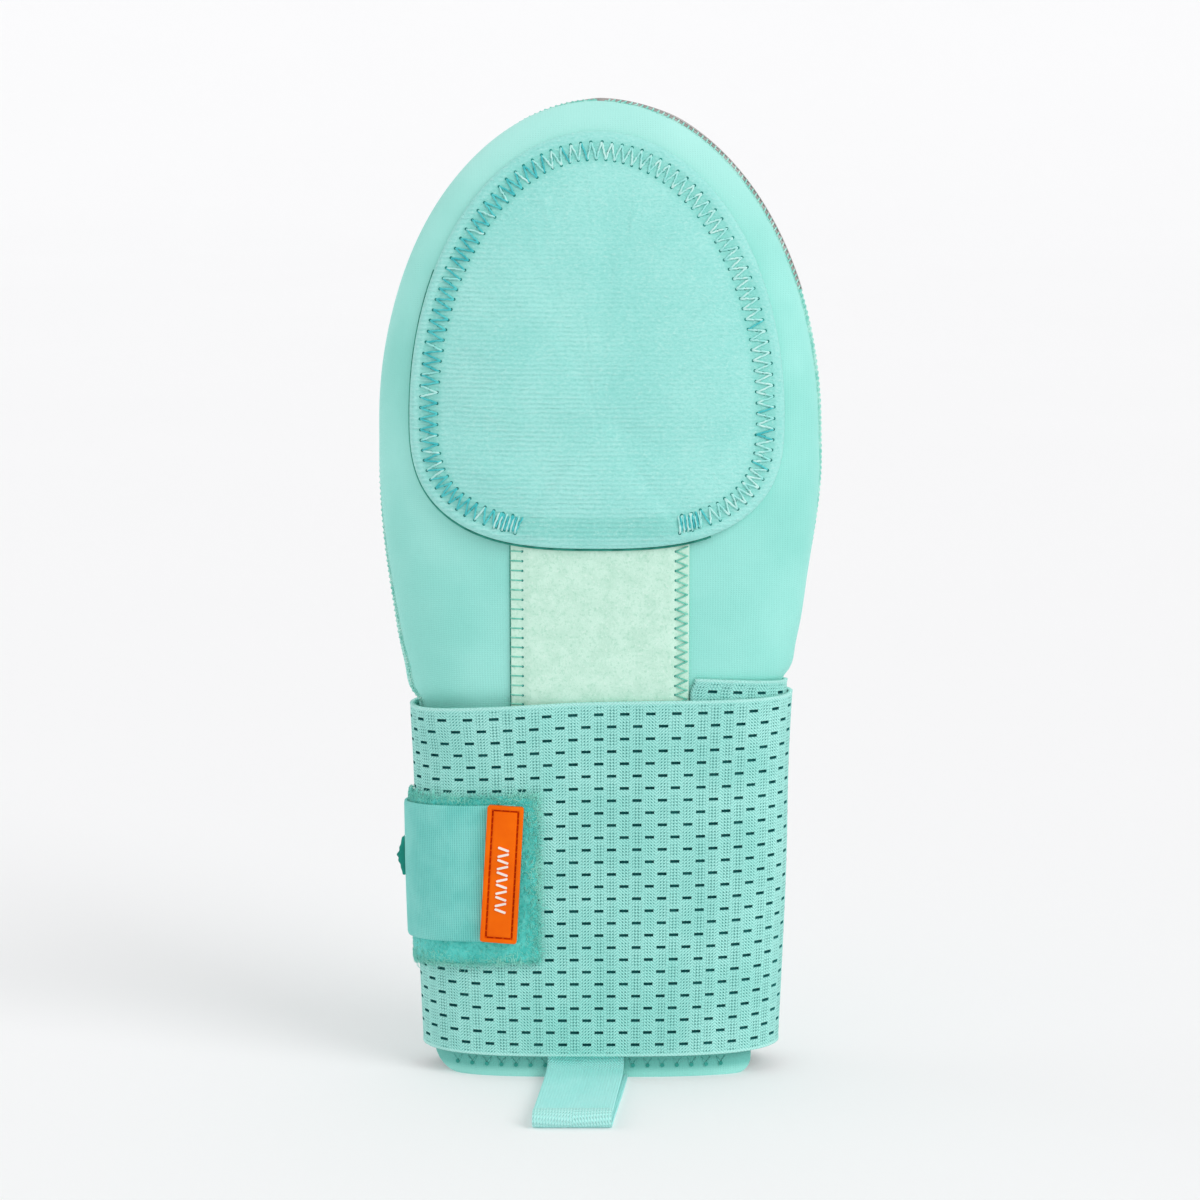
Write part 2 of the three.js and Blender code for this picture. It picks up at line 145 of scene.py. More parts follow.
SECTIONS = (
    Section(0, 0.768, 0.405, 0.395, 0, 0.42),
    Section(0.2, 0.803, 0.405, 0.395, 0, 0.42),
    Section(0.31, 0.811, 0.408, 0.398, 0, 0.42),
    Section(0.385, 0.826, 0.41, 0.4, 0, 0.42),
    Section(0.396, 0.829, 0.41, 0.4, 0, 0.42),
    Section(0.41, 0.87, 0.428, 0.415, 0, 0.4),
    Section(0.434, 0.892, 0.445, 0.425, 0, 0.38),
    Section(0.462, 0.918, 0.462, 0.435, 0, 0.36),
    Section(0.505, 0.945, 0.485, 0.45, -0.005, 0.34),
    Section(0.565, 0.98, 0.505, 0.47, -0.01, 0.3),
    Section(0.622, 1, 0.515, 0.48, -0.01, 0.28),
    Section(0.667, 1, 0.515, 0.48, 0, 0.27),
    Section(0.84, 1, 0.47, 0.44, 0.03, 0.25),
    Section(1, 1, 0.4, 0.37, 0.08, 0.2),
)
SEAMS = (
    Seam(0, -0.03, -0.03),
    Seam(0.41, -0.03, -0.03),
    Seam(0.434, -0.029, -0.028),
    Seam(0.462, -0.026, -0.024),
    Seam(0.505, -0.02, -0.016),
    Seam(0.565, -0.008, -0.004),
    Seam(0.622, 0.004, 0.012),
    Seam(0.667, 0.012, 0.026),
    Seam(0.84, 0.018, 0.045),
    Seam(1, 0.018, 0.045),
)
WRAP_EDGES = (
    WrapEdge(0, 0.063, 0.063),
    WrapEdge(0.17, 0.034, 0.038),
    WrapEdge(0.42, 0.006, 0.02),
    WrapEdge(0.67, -0.032, 0.003),
    WrapEdge(0.92, 0, 0),
    WrapEdge(1.17, 0.001, 0.006),
    WrapEdge(1.6, 0, 0),
)


class SmoothTable:
    """Rows of numbers, read smoothly by their first column."""

    FINE = 2400

    def __init__(self, rows: Sequence[tuple]) -> None:
        """Keeps the rows, in rising order of their first column, and works out fine ones between them.

        Args:
            rows: The table.
        """
        self.rows = rows
        self.keys = [row[0] for row in rows]
        self.pace = self.FINE / (self.keys[-1] - self.keys[0])
        self.fine = [self.between(self.keys[0] + i / self.pace) for i in range(self.FINE + 1)]

    def at(self, key: float) -> tuple:
        """Reads the fine rows at a value of the first column.

        Args:
            key: The value.

        Returns:
            A row of the table's own kind.
        """
        spot = min(max((key - self.keys[0]) * self.pace, 0.0), self.FINE - 1e-6)
        i = int(spot)
        share = spot - i
        return type(self.rows[0])(*[a + (b - a) * share for a, b in zip(self.fine[i], self.fine[i + 1])])

    def between(self, key: float) -> tuple:
        """Works out a row between the table's own.

        Args:
            key: Value of the first column, held inside the table.

        Returns:
            A row of the table's own kind.
        """
        keys, rows = self.keys, self.rows
        key = min(max(key, keys[0]), keys[-1])
        i = min(max(bisect(keys, key), 1), len(keys) - 1)
        before = i - 2 if i > 1 else i
        after = i + 1 if i + 1 < len(keys) else i - 1
        step = keys[i] - keys[i - 1]
        pull = step / 2 / (keys[i - 1] - keys[before])
        push = step / 2 / (keys[after] - keys[i])
        p = (key - keys[i - 1]) / step
        weights = (
            (before, -pull * p**3 + 2 * pull * p**2 - pull * p),
            (i - 1, (1 + pull) * p**3 + (-1.5 - 2 * pull) * p**2 + (-0.5 + pull) * p + 1),
            (i, (-1 - push) * p**3 + (1.5 + push) * p**2 + 0.5 * p),
            (after, push * p**3 - push * p**2),
        )
        values = [sum(weight * rows[row][c] for row, weight in weights) for c in range(len(rows[0]))]
        return type(rows[0])(*values)


class Cut(NamedTuple):
    """The body's outline at one height, in millimetres."""

    half_width: float
    front: float
    back: float
    lean: float
    fullness: float
    height: float


class Side(Enum):
    """Right and left edge of the mitt, as seen from the front."""

    RIGHT = 1
    LEFT = -1


class Facing(Enum):
    """The two neoprene panels."""

    FRONT = 1
    BACK = -1


@dataclass(eq=False)
class Body:
    """Form of the mitt that every piece lies on, in millimetres."""

    height: float = 272.0
    width: float = 122.8
    depth: float = 41.0
    crown_height: float = 90.5
    crown_power: float = 2.02
    waist_slope: float = 3.0
    reach_left: float = 47.0
    reach_right: float = 42.5
    corner_left: float = 8.0
    corner_right: float = 4.0
    slit_top: float = 104.0
    slit_blend: float = 12.0
    sections: SmoothTable = field(default_factory=lambda: SmoothTable(SECTIONS))
    seams: SmoothTable = field(default_factory=lambda: SmoothTable(SEAMS))

    @property
    def crown_start(self) -> float:
        """Height at which the finger end begins to round over."""
        return self.height - self.crown_height

    def level(self, height: float, side: float) -> float:
        """Level in the tables: the waist lies higher on the right (side 1) than on the left (side -1).

        Args:
            height: Height in millimetres.
            side: Side, 0 in the middle.

        Returns:
            The level, 0 to 1.
        """
        below = self.crown_start - self.crown_height / 2
        slant = self.waist_slope * side * (1 - smoothstep(height, below, self.crown_start))
        return min(1.0, max(0.0, (height - slant) / self.height))

    @lru_cache(maxsize=None)
    def cut(self, height: float, growth: float = 0.0, side: float = 0.0) -> Cut:
        """Outline at a height, grown outwards by a number of millimetres.

        Args:
            height: Its height.
            growth: How far it is grown.
            side: Side, for the waist.

        Returns:
            The outline.
        """
        section = self.sections.at(self.level(height, side))
        rise = min(1.0, max(0.0, (height - self.crown_start) / self.crown_height))
        narrowing = (1 - rise**self.crown_power) ** (1 / self.crown_power)
        return Cut(
            (section.width * self.width / 2 + growth) * narrowing,
            (section.front * self.depth + growth) * narrowing,
            (section.back * self.depth + growth) * narrowing,
            section.lean * self.depth,
            section.fullness,
            height + rise * growth,
        )

    def point(self, height: float, turn: float, growth: float = 0.0) -> Vector:
        """Point at a height and a turn: 0 is the front's middle, 0.25 the right side, 0.5 the back.

        Args:
            height: Its height.
            turn: Its turn.
            growth: How far the body is grown.

        Returns:
            The point.
        """
        sine, cosine = math.sin(turn * TURN), math.cos(turn * TURN)
        cut = self.cut(height, growth, sine)
        depth = cut.front if cosine > 0 else cut.back
        full = 1 + cut.fullness * sine**2
        return Vector((cut.half_width * sine, cut.lean - depth * cosine * full, cut.height))

    def wrapped(self, height: float, turn: float, offset: float) -> Vector:
        """Point that stands off the cuff by a distance, square to its wall.

        Args:
            height: Its height.
            turn: Its turn.
            offset: The distance.

        Returns:
            The point.
        """
        step = 0.0008
        along = self.point(height, turn + step) - self.point(height, turn - step)
        along.z = 0
        along.normalize()
        return self.point(height, turn) + Vector((along.y, -along.x, 0)) * offset

    def turn_of(self, x: float, height: float) -> float:
        """Turn at which the front wall has a given x."""
        side = min(1.0, max(-1.0, x / self.cut(height).half_width))
        return math.asin(min(1.0, max(-1.0, x / self.cut(height, 0, side).half_width))) / TURN

    def front(self, x: float, height: float, offset: float) -> Vector:
        """Point that stands off the front wall at x and a height, square to the surface.

        Args:
            x: Its x.
            height: Its height.
            offset: The distance.

        Returns:
            The point.
        """
        step = 0.05

        def near(dx: float, dz: float) -> Vector:
            """Point of the wall a step aside and a step up."""
            return self.point(height + dz, self.turn_of(x + dx, height + dz))

        across = near(step, 0) - near(-step, 0)
        up = near(0, step) - near(0, -step)
        return near(0, 0) + across.cross(up).normalized() * offset

    def outwards(self, x: float, height: float) -> Vector:
        """The way the front wall faces at x and a height."""
        return (self.front(x, height, 1) - self.front(x, height, 0)).normalized()

    @lru_cache(maxsize=None)
    def edge(self, height: float, side: Side, facing: Facing) -> float:
        """Turn at which a panel ends: at the slit in the cuff, at the edge seam above it.

        Args:
            height: Its height.
            side: The mitt's side.
            facing: The panel.

        Returns:
            The turn.
        """
        sign = side.value
        seam = self.seams.at(self.level(height, sign))
        share = smoothstep(height, self.slit_top - self.slit_blend, self.slit_top)
        if side is Side.RIGHT:
            reach, corner, shift = self.reach_right, self.corner_right, -seam.right
        else:
            reach, corner, shift = self.reach_left, self.corner_left, seam.left
        below = max(0.0, corner - height)
        reach -= corner - math.sqrt(corner * corner - below * below)
        slit_turn = abs(self.turn_of(sign * reach, height))
        half_gap = GAP / 2 / (TURN * max(self.cut(height, 0, sign).front, 1))
        seam_turn = 0.25 + facing.value * shift - half_gap
        low = min(slit_turn, seam_turn)
        return sign * (low + (seam_turn - low) * share)

    def shift(self) -> Vector:
        """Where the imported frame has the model's origin, in metres, from the back panel's own box.

        Returns:
            The origin's place.
        """
        low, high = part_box("back_panel")
        deepest = max(self.point(height, 0.5).y for height in spread(0, self.height, 272))
        return Vector(((low.x + high.x) / 2, high.y - deepest * MM, low.z))


class Shader:
    """A material in the making: its principled shader and the nodes that lead to it."""

    def __init__(self, name: str, roughness: float, sheen: float) -> None:
        """Starts the material with its constants on the shader's own sockets.

        Args:
            name: Its name.
            roughness: Its roughness.
            sheen: Its sheen.
        """
        self.material = bpy.data.materials.new(name)
        self.material.use_nodes = True
        self.tree = self.material.node_tree
        self.surface = self.tree.nodes["Principled BSDF"]
        self.surface.inputs["Roughness"].default_value = roughness
        self.surface.inputs["Sheen Weight"].default_value = sheen
        self.surface.inputs["Sheen Roughness"].default_value = 0.5
        self.bumped: Socket | None = None

    def add(self, kind: str, output: int | str, inputs: dict, **settings: object) -> Socket:
        """Adds a node.

        Args:
            kind: The node's type.
            output: Name or place of the socket to hand back.
            inputs: Values or sockets by input name or place.
            settings: The node's own properties.

        Returns:
            The chosen output socket.
        """
        node = self.tree.nodes.new(kind)
        for key, value in settings.items():
            setattr(node, key, value)
        for key, value in inputs.items():
            if isinstance(value, bpy.types.NodeSocket):
                self.tree.links.new(value, node.inputs[key])
            else:
                node.inputs[key].default_value = value
        return node.outputs[output]

    def place(self) -> Socket:
        """Object coordinates in millimetres."""
        spot = self.add("ShaderNodeTexCoord", "Object", {})
        return self.add("ShaderNodeVectorMath", 0, {0: spot, 3: 1 / MM}, operation="SCALE")

    def weave(self) -> Socket:
        """The piece's own map: millimetres along and across the cloth, columns and rings on the pad."""
        return self.add("ShaderNodeUVMap", 0, {}, uv_map=Sheet.MAP)

    def split(self, vector: Socket) -> tuple[Socket, Socket, Socket]:
        """The three parts of a vector."""
        node = self.add("ShaderNodeSeparateXYZ", 0, {0: vector}).node
        return node.outputs[0], node.outputs[1], node.outputs[2]

    def math(self, operation: str, *values: Socket | float) -> Socket:
        """One sum of the shader."""
        return self.add("ShaderNodeMath", 0, dict(enumerate(values)), operation=operation)

    def times(self, first: Socket | float, second: Socket | float) -> Socket:
        """The product of two values."""
        return self.math("MULTIPLY", first, second)

    def tint(self, mask: Socket, strength: float, tone: Socket, colour: Tone) -> Socket:
        """A tone drawn towards a colour where the mask is, at most by the strength."""
        return self.blend(self.times(mask, strength), tone, colour)

    def stretch(self, vector: Socket, scale: tuple[float, float, float]) -> Socket:
        """A vector with each part scaled."""
        return self.add("ShaderNodeVectorMath", 0, {0: vector, 1: scale}, operation="MULTIPLY")

    def noise(self, vector: Socket, size: float, detail: float = 2.0, rough: float = 0.55) -> Socket:
        """Soft noise about 0.5 with blotches of a size in millimetres."""
        inputs = {"Vector": vector, "Scale": 1 / size, "Detail": detail, "Roughness": rough}
        return self.add("ShaderNodeTexNoise", 0, inputs)

    def wave(self, value: Socket, pitch: float) -> Socket:
        """A sine wave from 0 to 1 with a pitch in millimetres."""
        angle = self.times(value, TURN / pitch)
        return self.math("MULTIPLY_ADD", self.math("SINE", angle), 0.5, 0.5)

    def between(self, value: Socket, low: float, high: float) -> Socket:
        """0 below low, 1 above high and smooth between them."""
        inputs = {0: value, 1: low, 2: high, 3: 0.0, 4: 1.0}
        return self.add("ShaderNodeMapRange", 0, inputs, interpolation_type="SMOOTHSTEP")

    def blend(self, share: Socket, first: Socket | Sequence[float], second: Tone) -> Socket:
        """A colour between a shader's one and one seen on screen."""
        inputs = {0: share, 6: first, 7: linear(second)}
        return self.add("ShaderNodeMix", 2, inputs, data_type="RGBA")

    def relief(self, height: Socket, depth: float, strength: float = 1.0) -> None:
        """Adds a bump whose full height is a depth in millimetres.

        Args:
            height: Height, 0 to 1.
            depth: The depth.
            strength: Share of it.
        """
        inputs: dict = {"Height": height, "Distance": depth * MM, "Strength": strength}
        if self.bumped is not None:
            inputs["Normal"] = self.bumped
        self.bumped = self.add("ShaderNodeBump", 0, inputs)

    def colour(self, colour: Socket) -> None:
        """Links the base colour."""
        self.tree.links.new(colour, self.surface.inputs["Base Color"])

    def finish(self) -> bpy.types.Material:
        """Links the bumps and hands the material over.

        Returns:
            The material.
        """
        if self.bumped is not None:
            self.tree.links.new(self.bumped, self.surface.inputs["Normal"])
        return self.material


@dataclass(frozen=True)
class Finish:
    """A material of the mitt: colours as seen on screen, 0 to 255."""

    name: str
    colour: Tone
    shade: Tone
    roughness: float = 0.85
    sheen: float = 0.2
    gloss: float = 0.22

    @lru_cache(maxsize=None)
    def make(self) -> bpy.types.Material:
        """Makes the material, once.

        Returns:
            The material.
        """
        shader = Shader(self.name, self.roughness, self.sheen)
        shader.surface.inputs["Specular IOR Level"].default_value = self.gloss
        shader.surface.inputs["Base Color"].default_value = linear(self.colour)
        self.dress(shader)
        return shader.finish()

    def tone(self, shader: Shader, share: Socket) -> Socket:
        """The finish's two colours, mixed."""
        return shader.blend(share, linear(self.shade), self.colour)

    def dress(self, shader: Shader) -> None:
        """Adds the finish's own pattern: here soft blotches and a fine grain.

        Args:
            shader: The material.
        """
        place = shader.place()
        blotch = shader.between(shader.noise(place, 9.0), 0.35, 0.7)
        shader.colour(self.tone(shader, blotch))
        shader.relief(shader.noise(place, 0.5, 3.0), 0.06)


@dataclass(frozen=True)
class NeopreneFinish(Finish):
    """Jersey face of the neoprene: fine upright wales over soft blotches, with painted shade on the hem and painted
    light on the crown.
    """

    wale: float = 0.72
    course: float = 0.55
    # Colour of the painted light on the upper crown.
    light: Tone = (206, 252, 246)
    # Colour of the painted shade on the hem, where the elastic shades it.
    painted_shade: Tone = (84, 174, 164)

    def dress(self, shader: Shader) -> None:
        """Adds wales, courses, blotches, a faint nap, painted shade along the hem under the elastic and painted light
        over the crown.

        Args:
            shader: The material.
        """
        place = shader.place()
        x, _, z = shader.split(place)
        drift = shader.times(shader.noise(place, 14.0), 1.2)
        soft = shader.noise(place, 60.0, 1.0)
        wale = shader.wave(shader.math("ADD", x, drift), self.wale)
        course = shader.wave(shader.math("ADD", z, drift), self.course)
        knit = shader.times(wale, course)
        blotch = shader.between(shader.noise(place, 26.0, 3.0), 0.3, 0.72)
        tone = self.tone(shader, blotch)
        fine = shader.times(shader.math("SUBTRACT", 1.0, knit), 0.16)
        deep = (self.shade[0] - 34, self.shade[1] - 22, self.shade[2] - 24)
        tone = shader.tint(shader.between(soft, 0.4, 0.7), 0.16, tone, deep)
        # Painted shade: the hem darkened from about 1 mm up to 16 mm, under the elastic's edge.
        painted_shade = shader.times(shader.between(z, 0.8, 3.4), shader.between(z, 16.0, 9.0))
        tone = shader.tint(painted_shade, 0.7, tone, self.painted_shade)
        # Painted light: the crown paler from 222 mm upwards, as if lit from above.
        tone = shader.tint(shader.between(z, 222.0, 264.0), 0.42, tone, self.light)
        shader.colour(shader.blend(fine, tone, deep))
        shader.relief(knit, 0.05)
        shader.relief(shader.noise(place, 3.2, 3.0), 0.12, 0.6)


@dataclass(frozen=True)
class BrushedFinish(Finish):
    """Brushed knit of the pad: level ribs, broken up and napped."""

    rib: float = 1.3
    hollow: Tone = (110, 205, 192)

    def dress(self, shader: Shader) -> None:
        """Adds ribs that fade in and out, with painted shade in their hollows, strongest at the lower left away from
        the light, painted shade along the sewn band, nap and blotches.

        Args:
            shader: The material.
        """
        place = shader.place()
        x, _, z = shader.split(place)
        wander = shader.times(shader.noise(shader.stretch(place, (0.6, 0.6, 1)), 4.0), 0.9)
        rib = shader.wave(shader.math("ADD", z, wander), self.rib)
        # Strength of the ribs' painted shade: full at the lower left, 0.3 of it at the upper right, where the light
        # falls.
        painted_shade = shader.math("MULTIPLY_ADD", z, -0.8, shader.times(x, -1.0))
        painted_shade = shader.math("MULTIPLY_ADD", shader.between(painted_shade, -205.0, -115.0), 0.7, 0.3)
        patchy = shader.between(shader.noise(shader.stretch(place, (0.6, 0.6, 1.2)), 9.0, 3.0), 0.3, 0.62)
        rib = shader.times(rib, shader.math("MULTIPLY_ADD", patchy, 0.6, 0.4))
        rib = shader.times(rib, painted_shade)
        nap = shader.noise(shader.stretch(place, (0.8, 0.8, 1.5)), 0.8, 4.0, 0.7)
        blotch = shader.between(shader.noise(place, 30.0, 3.0), 0.3, 0.7)
        tone = self.tone(shader, blotch)
        # Painted shade in the rib hollows.
        tone = shader.tint(shader.math("SUBTRACT", 1.0, rib), 0.26, tone, self.hollow)
        # Painted shade along the sunken band between the zigzag's two lines.
        _, ring, _ = shader.split(shader.weave())
        sewn = shader.times(shader.between(ring, 4.6, 6.0), shader.between(ring, 11.4, 9.8))
        tone = shader.tint(sewn, 0.34, tone, self.hollow)
        tone = shader.tint(shader.between(nap, 0.52, 0.36), 0.24, tone, self.hollow)
        shader.colour(shader.tint(shader.between(nap, 0.52, 0.72), 0.45, tone, (204, 248, 240)))
        shader.relief(rib, 0.2)
        shader.relief(nap, 0.3)


@dataclass(frozen=True)
class SuedeFinish(Finish):
    """Matt suede with cloudy smudges and a fine grain."""

    def dress(self, shader: Shader) -> None:
        """Adds clouds, small darker flecks and the grain.

        Args:
            shader: The material.
        """
        place = shader.place()
        cloud = shader.between(shader.noise(place, 4.0, 5.0, 0.65), 0.36, 0.64)
        tone = self.tone(shader, cloud)
        tone = shader.tint(shader.between(shader.noise(place, 0.9, 4.0, 0.7), 0.5, 0.66), 0.5, tone, (160, 216, 190))
        shader.colour(shader.tint(shader.between(shader.noise(place, 0.7, 3.0), 0.56, 0.7), 0.5, tone, (226, 250, 238)))
        shader.relief(shader.noise(place, 0.45, 4.0, 0.7), 0.12)
        shader.relief(shader.noise(place, 3.5, 3.0), 0.25, 0.6)


@dataclass(frozen=True)
class MeshFinish(Finish):
    """Woven elastic: slanting threads that turn from column to column, pitted between the holes."""

    cell: float = 3.5
    row: float = 3.474
    first_hole: float = 2.4
    selvage: float = 3.4
    width: float = 100.6
    stroke: float = 0.87
    pit: Tone = (50, 142, 134)

    def dress(self, shader: Shader) -> None:
        """Adds slanting strokes, rows of pits, paler selvages and soft fading along the weave's own map.

        Args:
            shader: The material.
        """
        along, across, _ = shader.split(shader.weave())
        column = shader.math("MULTIPLY_ADD", along, 1 / self.cell, 0.5 - self.first_hole / self.cell)
        row = shader.math("MULTIPLY_ADD", across, 1 / self.row, 0.5 - self.selvage / self.row)
        column_no = shader.math("FLOOR", column)
        lean = shader.math("MULTIPLY_ADD", shader.math("PINGPONG", column_no, 1.0), 2.0, -1.0)
        slant = shader.math("MULTIPLY_ADD", shader.times(along, lean), 0.9, across)
        stroke = shader.wave(slant, self.stroke)
        parity = shader.math("PINGPONG", shader.math("ADD", column_no, shader.math("FLOOR", row)), 1.0)
        dots = shader.times(shader.wave(along, self.cell / 4), shader.wave(across, self.row / 4))
        dots = shader.between(dots, 0.34, 0.66)
        inside = shader.math("PINGPONG", column, 0.5)
        dots = shader.times(dots, shader.between(inside, 0.05, 0.2))
        few = shader.math("MULTIPLY_ADD", parity, 0.5, 0.5)
        rim = shader.math("MINIMUM", across, shader.math("SUBTRACT", self.width, across))
        body = shader.between(rim, 0.5, 0.9)
        dots = shader.times(shader.times(dots, few), body)
        blotch = shader.between(shader.noise(shader.place(), 15.0, 3.0), 0.3, 0.7)
        tone = self.tone(shader, blotch)
        stroke = shader.between(stroke, 0.3, 0.85)
        tone = shader.tint(stroke, 0.5, tone, (92, 190, 180))
        tone = shader.tint(shader.math("SUBTRACT", 1.0, body), 0.6, tone, (190, 246, 238))
        shader.colour(shader.tint(dots, 0.8, tone, self.pit))
        shader.relief(shader.math("SUBTRACT", 1.0, dots), 0.12)
        shader.relief(stroke, 0.1)


@dataclass(frozen=True)
class TapeFinish(Finish):
    """Woven tape with fine dotted lines across it."""

    line: float = 0.66
    dot: float = 0.5

    def dress(self, shader: Shader) -> None:
        """Adds the lines, their dots and cloudy fading.

        Args:
            shader: The material.
        """
        along, across, _ = shader.split(shader.weave())
        line = shader.wave(along, self.line)
        dot = shader.wave(across, self.dot)
        dark = shader.between(shader.times(line, dot), 0.35, 0.9)
        cloud = shader.between(shader.noise(shader.place(), 10.0, 4.0), 0.3, 0.7)
        tone = self.tone(shader, cloud)
        tone = shader.tint(dark, 0.5, tone, (44, 150, 144))
        shader.colour(shader.tint(shader.math("SUBTRACT", 1.0, line), 0.2, tone, (176, 240, 232)))
        shader.relief(line, 0.12)
        shader.relief(shader.noise(shader.place(), 0.5, 3.0), 0.12)


@dataclass(frozen=True)
class PileFinish(Finish):
    """Fuzzy pile of the loop tape, dark between its tufts."""

    def dress(self, shader: Shader) -> None:
        """Adds tufts and deeper gaps between them.

        Args:
            shader: The material.
        """
        place = shader.place()
        tuft = shader.noise(place, 1.0, 4.0, 0.7)
        cloud = shader.between(shader.noise(place, 5.0, 3.0), 0.34, 0.68)
        tone = self.tone(shader, cloud)
        tone = shader.tint(shader.between(tuft, 0.5, 0.36), 0.4, tone, (40, 156, 144))
        shader.colour(shader.tint(shader.between(tuft, 0.52, 0.66), 0.4, tone, (140, 228, 216)))
        shader.relief(tuft, 0.5)


@dataclass(frozen=True)
class RubberFinish(Finish):
    """Satin moulded rubber with a faint orange-peel skin."""

    def dress(self, shader: Shader) -> None:
        """Adds a slow change of tone and the skin's fine bumps.

        Args:
            shader: The material.
        """
        place = shader.place()
        cloud = shader.between(shader.noise(place, 8.0), 0.3, 0.7)
        shader.colour(self.tone(shader, cloud))
        shader.relief(shader.noise(place, 0.35, 2.0), 0.02)


@dataclass(frozen=True)
class WebbingFinish(Finish):
    """Herringbone webbing: slanting ribs that meet along its middle line."""

    rib: float = 1.1
    fold: float = 64.0

    def dress(self, shader: Shader) -> None:
        """Adds the ribs, with painted shade in their grooves that is deeper far from the fold, fine cross threads and a
        painted highlight along the fold.

        Args:
            shader: The material.
        """
        along, across, _ = shader.split(shader.weave())
        slanted = shader.math("MULTIPLY_ADD", shader.math("ABSOLUTE", across), -1.3, along)
        rib = shader.wave(slanted, self.rib)
        thread = shader.wave(across, 0.8)
        cloud = shader.between(shader.noise(shader.place(), 9.0, 3.0), 0.3, 0.7)
        tone = self.tone(shader, cloud)
        from_fold = shader.math("ABSOLUTE", shader.math("SUBTRACT", along, self.fold))
        folded = shader.between(from_fold, 4.2, 2.6)
        # Painted shade: deeper rib grooves far from the fold, on the part that hangs down by the hem.
        painted_shade = shader.between(from_fold, 34.0, 48.0)
        share = shader.math("MULTIPLY_ADD", painted_shade, 0.3, 0.16)
        groove = shader.times(shader.math("SUBTRACT", 1.0, rib), share)
        tone = shader.blend(groove, tone, (70, 188, 176))
        # Painted highlight: the rounded fold paler, where the light falls on it, with its cross threads showing.
        tone = shader.tint(folded, 0.5, tone, (206, 250, 244))
        shader.colour(shader.tint(shader.times(thread, folded), 0.4, tone, (112, 206, 196)))
        shader.relief(rib, 0.16)
        shader.relief(thread, 0.08)


@dataclass(frozen=True)
class ThreadFinish(Finish):
    """Twisted polyester thread, paler or deeper along its run."""

    def dress(self, shader: Shader) -> None:
        """Adds a slow change of tone and a fine twist.

        Args:
            shader: The material.
        """
        place = shader.place()
        cloud = shader.between(shader.noise(place, 3.0), 0.35, 0.65)
        shader.colour(self.tone(shader, cloud))
        x, _, z = shader.split(place)
        shader.relief(shader.wave(shader.math("ADD", x, z), 0.3), 0.05)


@dataclass(frozen=True)
class FloorFinish(Finish):
    """Pale seamless floor with a barely seen mottle."""

    def dress(self, shader: Shader) -> None:
        """Adds the mottle.

        Args:
            shader: The material.
        """
        cloud = shader.noise(shader.place(), 400.0)
        shader.colour(self.tone(shader, cloud))
        shader.surface.inputs["Emission Color"].default_value = (1.0, 1.0, 1.0, 1.0)
        shader.surface.inputs["Emission Strength"].default_value = 0.2


NEOPRENE = NeopreneFinish("neoprene_jersey", (166, 236, 226), (152, 227, 216), 0.62, 0.1)
BRUSHED = BrushedFinish("brushed_knit", (178, 242, 235), (164, 234, 227), 0.92, 0.2)
SUEDE = SuedeFinish("soft_suede", (208, 243, 226), (196, 235, 216), 0.95, 0.2)
ELASTIC = MeshFinish("woven_elastic", (182, 246, 237), (166, 236, 226), 0.8, 0.1)
# The elastic's hole floors and walls: painted shade of the holes' depth, over the darker threads beneath.
HOLE_SHADE = Finish("elastic_hole_shade", (46, 130, 128), (28, 106, 106), 0.95, 0.0, 0.05)
PILE = PileFinish("loop_pile", (94, 218, 208), (74, 202, 192), 0.95, 0.3)
FUZZ = Finish("loop_fuzz", (152, 234, 218), (118, 220, 206), 0.9, 0.3)
HOOK = TapeFinish("woven_hook", (128, 220, 211), (104, 206, 197), 0.85, 0.1)
FOLD = TapeFinish("woven_fold", (38, 160, 142), (24, 128, 114), 0.9, 0.1)
RUBBER = RubberFinish("satin_rubber", (250, 110, 0), (242, 100, 0), 0.42, 0.0, 0.08)
GROOVE = RubberFinish("groove_rubber", (206, 52, 0), (186, 42, 0), 0.5, 0.0, 0.08)
GRIP = RubberFinish("white_rubber", (250, 240, 232), (240, 226, 216), 0.42, 0.0)
WEBBING = WebbingFinish("tab_webbing", (184, 255, 250), (172, 252, 246), 0.7, 0.2)
# The grey guard gets the same painted light on the crown.
GUARD = NeopreneFinish("grey_jersey", (184, 177, 175), (174, 166, 164), 0.9, 0.1, light=(190, 184, 182))
PALE_THREAD = ThreadFinish("pale_thread", (208, 252, 246), (160, 238, 231), 0.6, 0.1)
# Hem dimples as dark plugs: painted shade in the dimples.
DIMPLE_SHADE = Finish("hem_dimple_shade", (66, 168, 156), (52, 150, 138), 0.95, 0.0)
TEAL_THREAD = ThreadFinish("teal_thread", (96, 216, 216), (66, 194, 198), 0.6, 0.1)
HEM_THREAD = ThreadFinish("hem_thread", (128, 214, 204), (106, 200, 190), 0.7, 0.1)
MINT_THREAD = ThreadFinish("mint_thread", (190, 244, 232), (142, 224, 210), 0.6, 0.1)
STRIP_THREAD = ThreadFinish("strip_thread", (140, 222, 200), (104, 200, 178), 0.6, 0.1)
# A dark cord laid along the pad's rim and the strip's left edge: painted shadow.
SHADOW_CORD = ThreadFinish("painted_shadow_cord", (62, 160, 142), (44, 132, 116), 0.8, 0.0)
# Needle holes as dark plugs: painted shade inside the holes.
NEEDLE_HOLE_SHADE = Finish("needle_hole", (40, 142, 134), (28, 116, 110), 1.0, 0.0)
GREY_THREAD = ThreadFinish("grey_thread", (202, 194, 192), (174, 162, 158), 0.7, 0.1)
FLOOR = FloorFinish("studio_floor", (222, 222, 223), (220, 220, 221), 0.9, 0.0, 0.1)


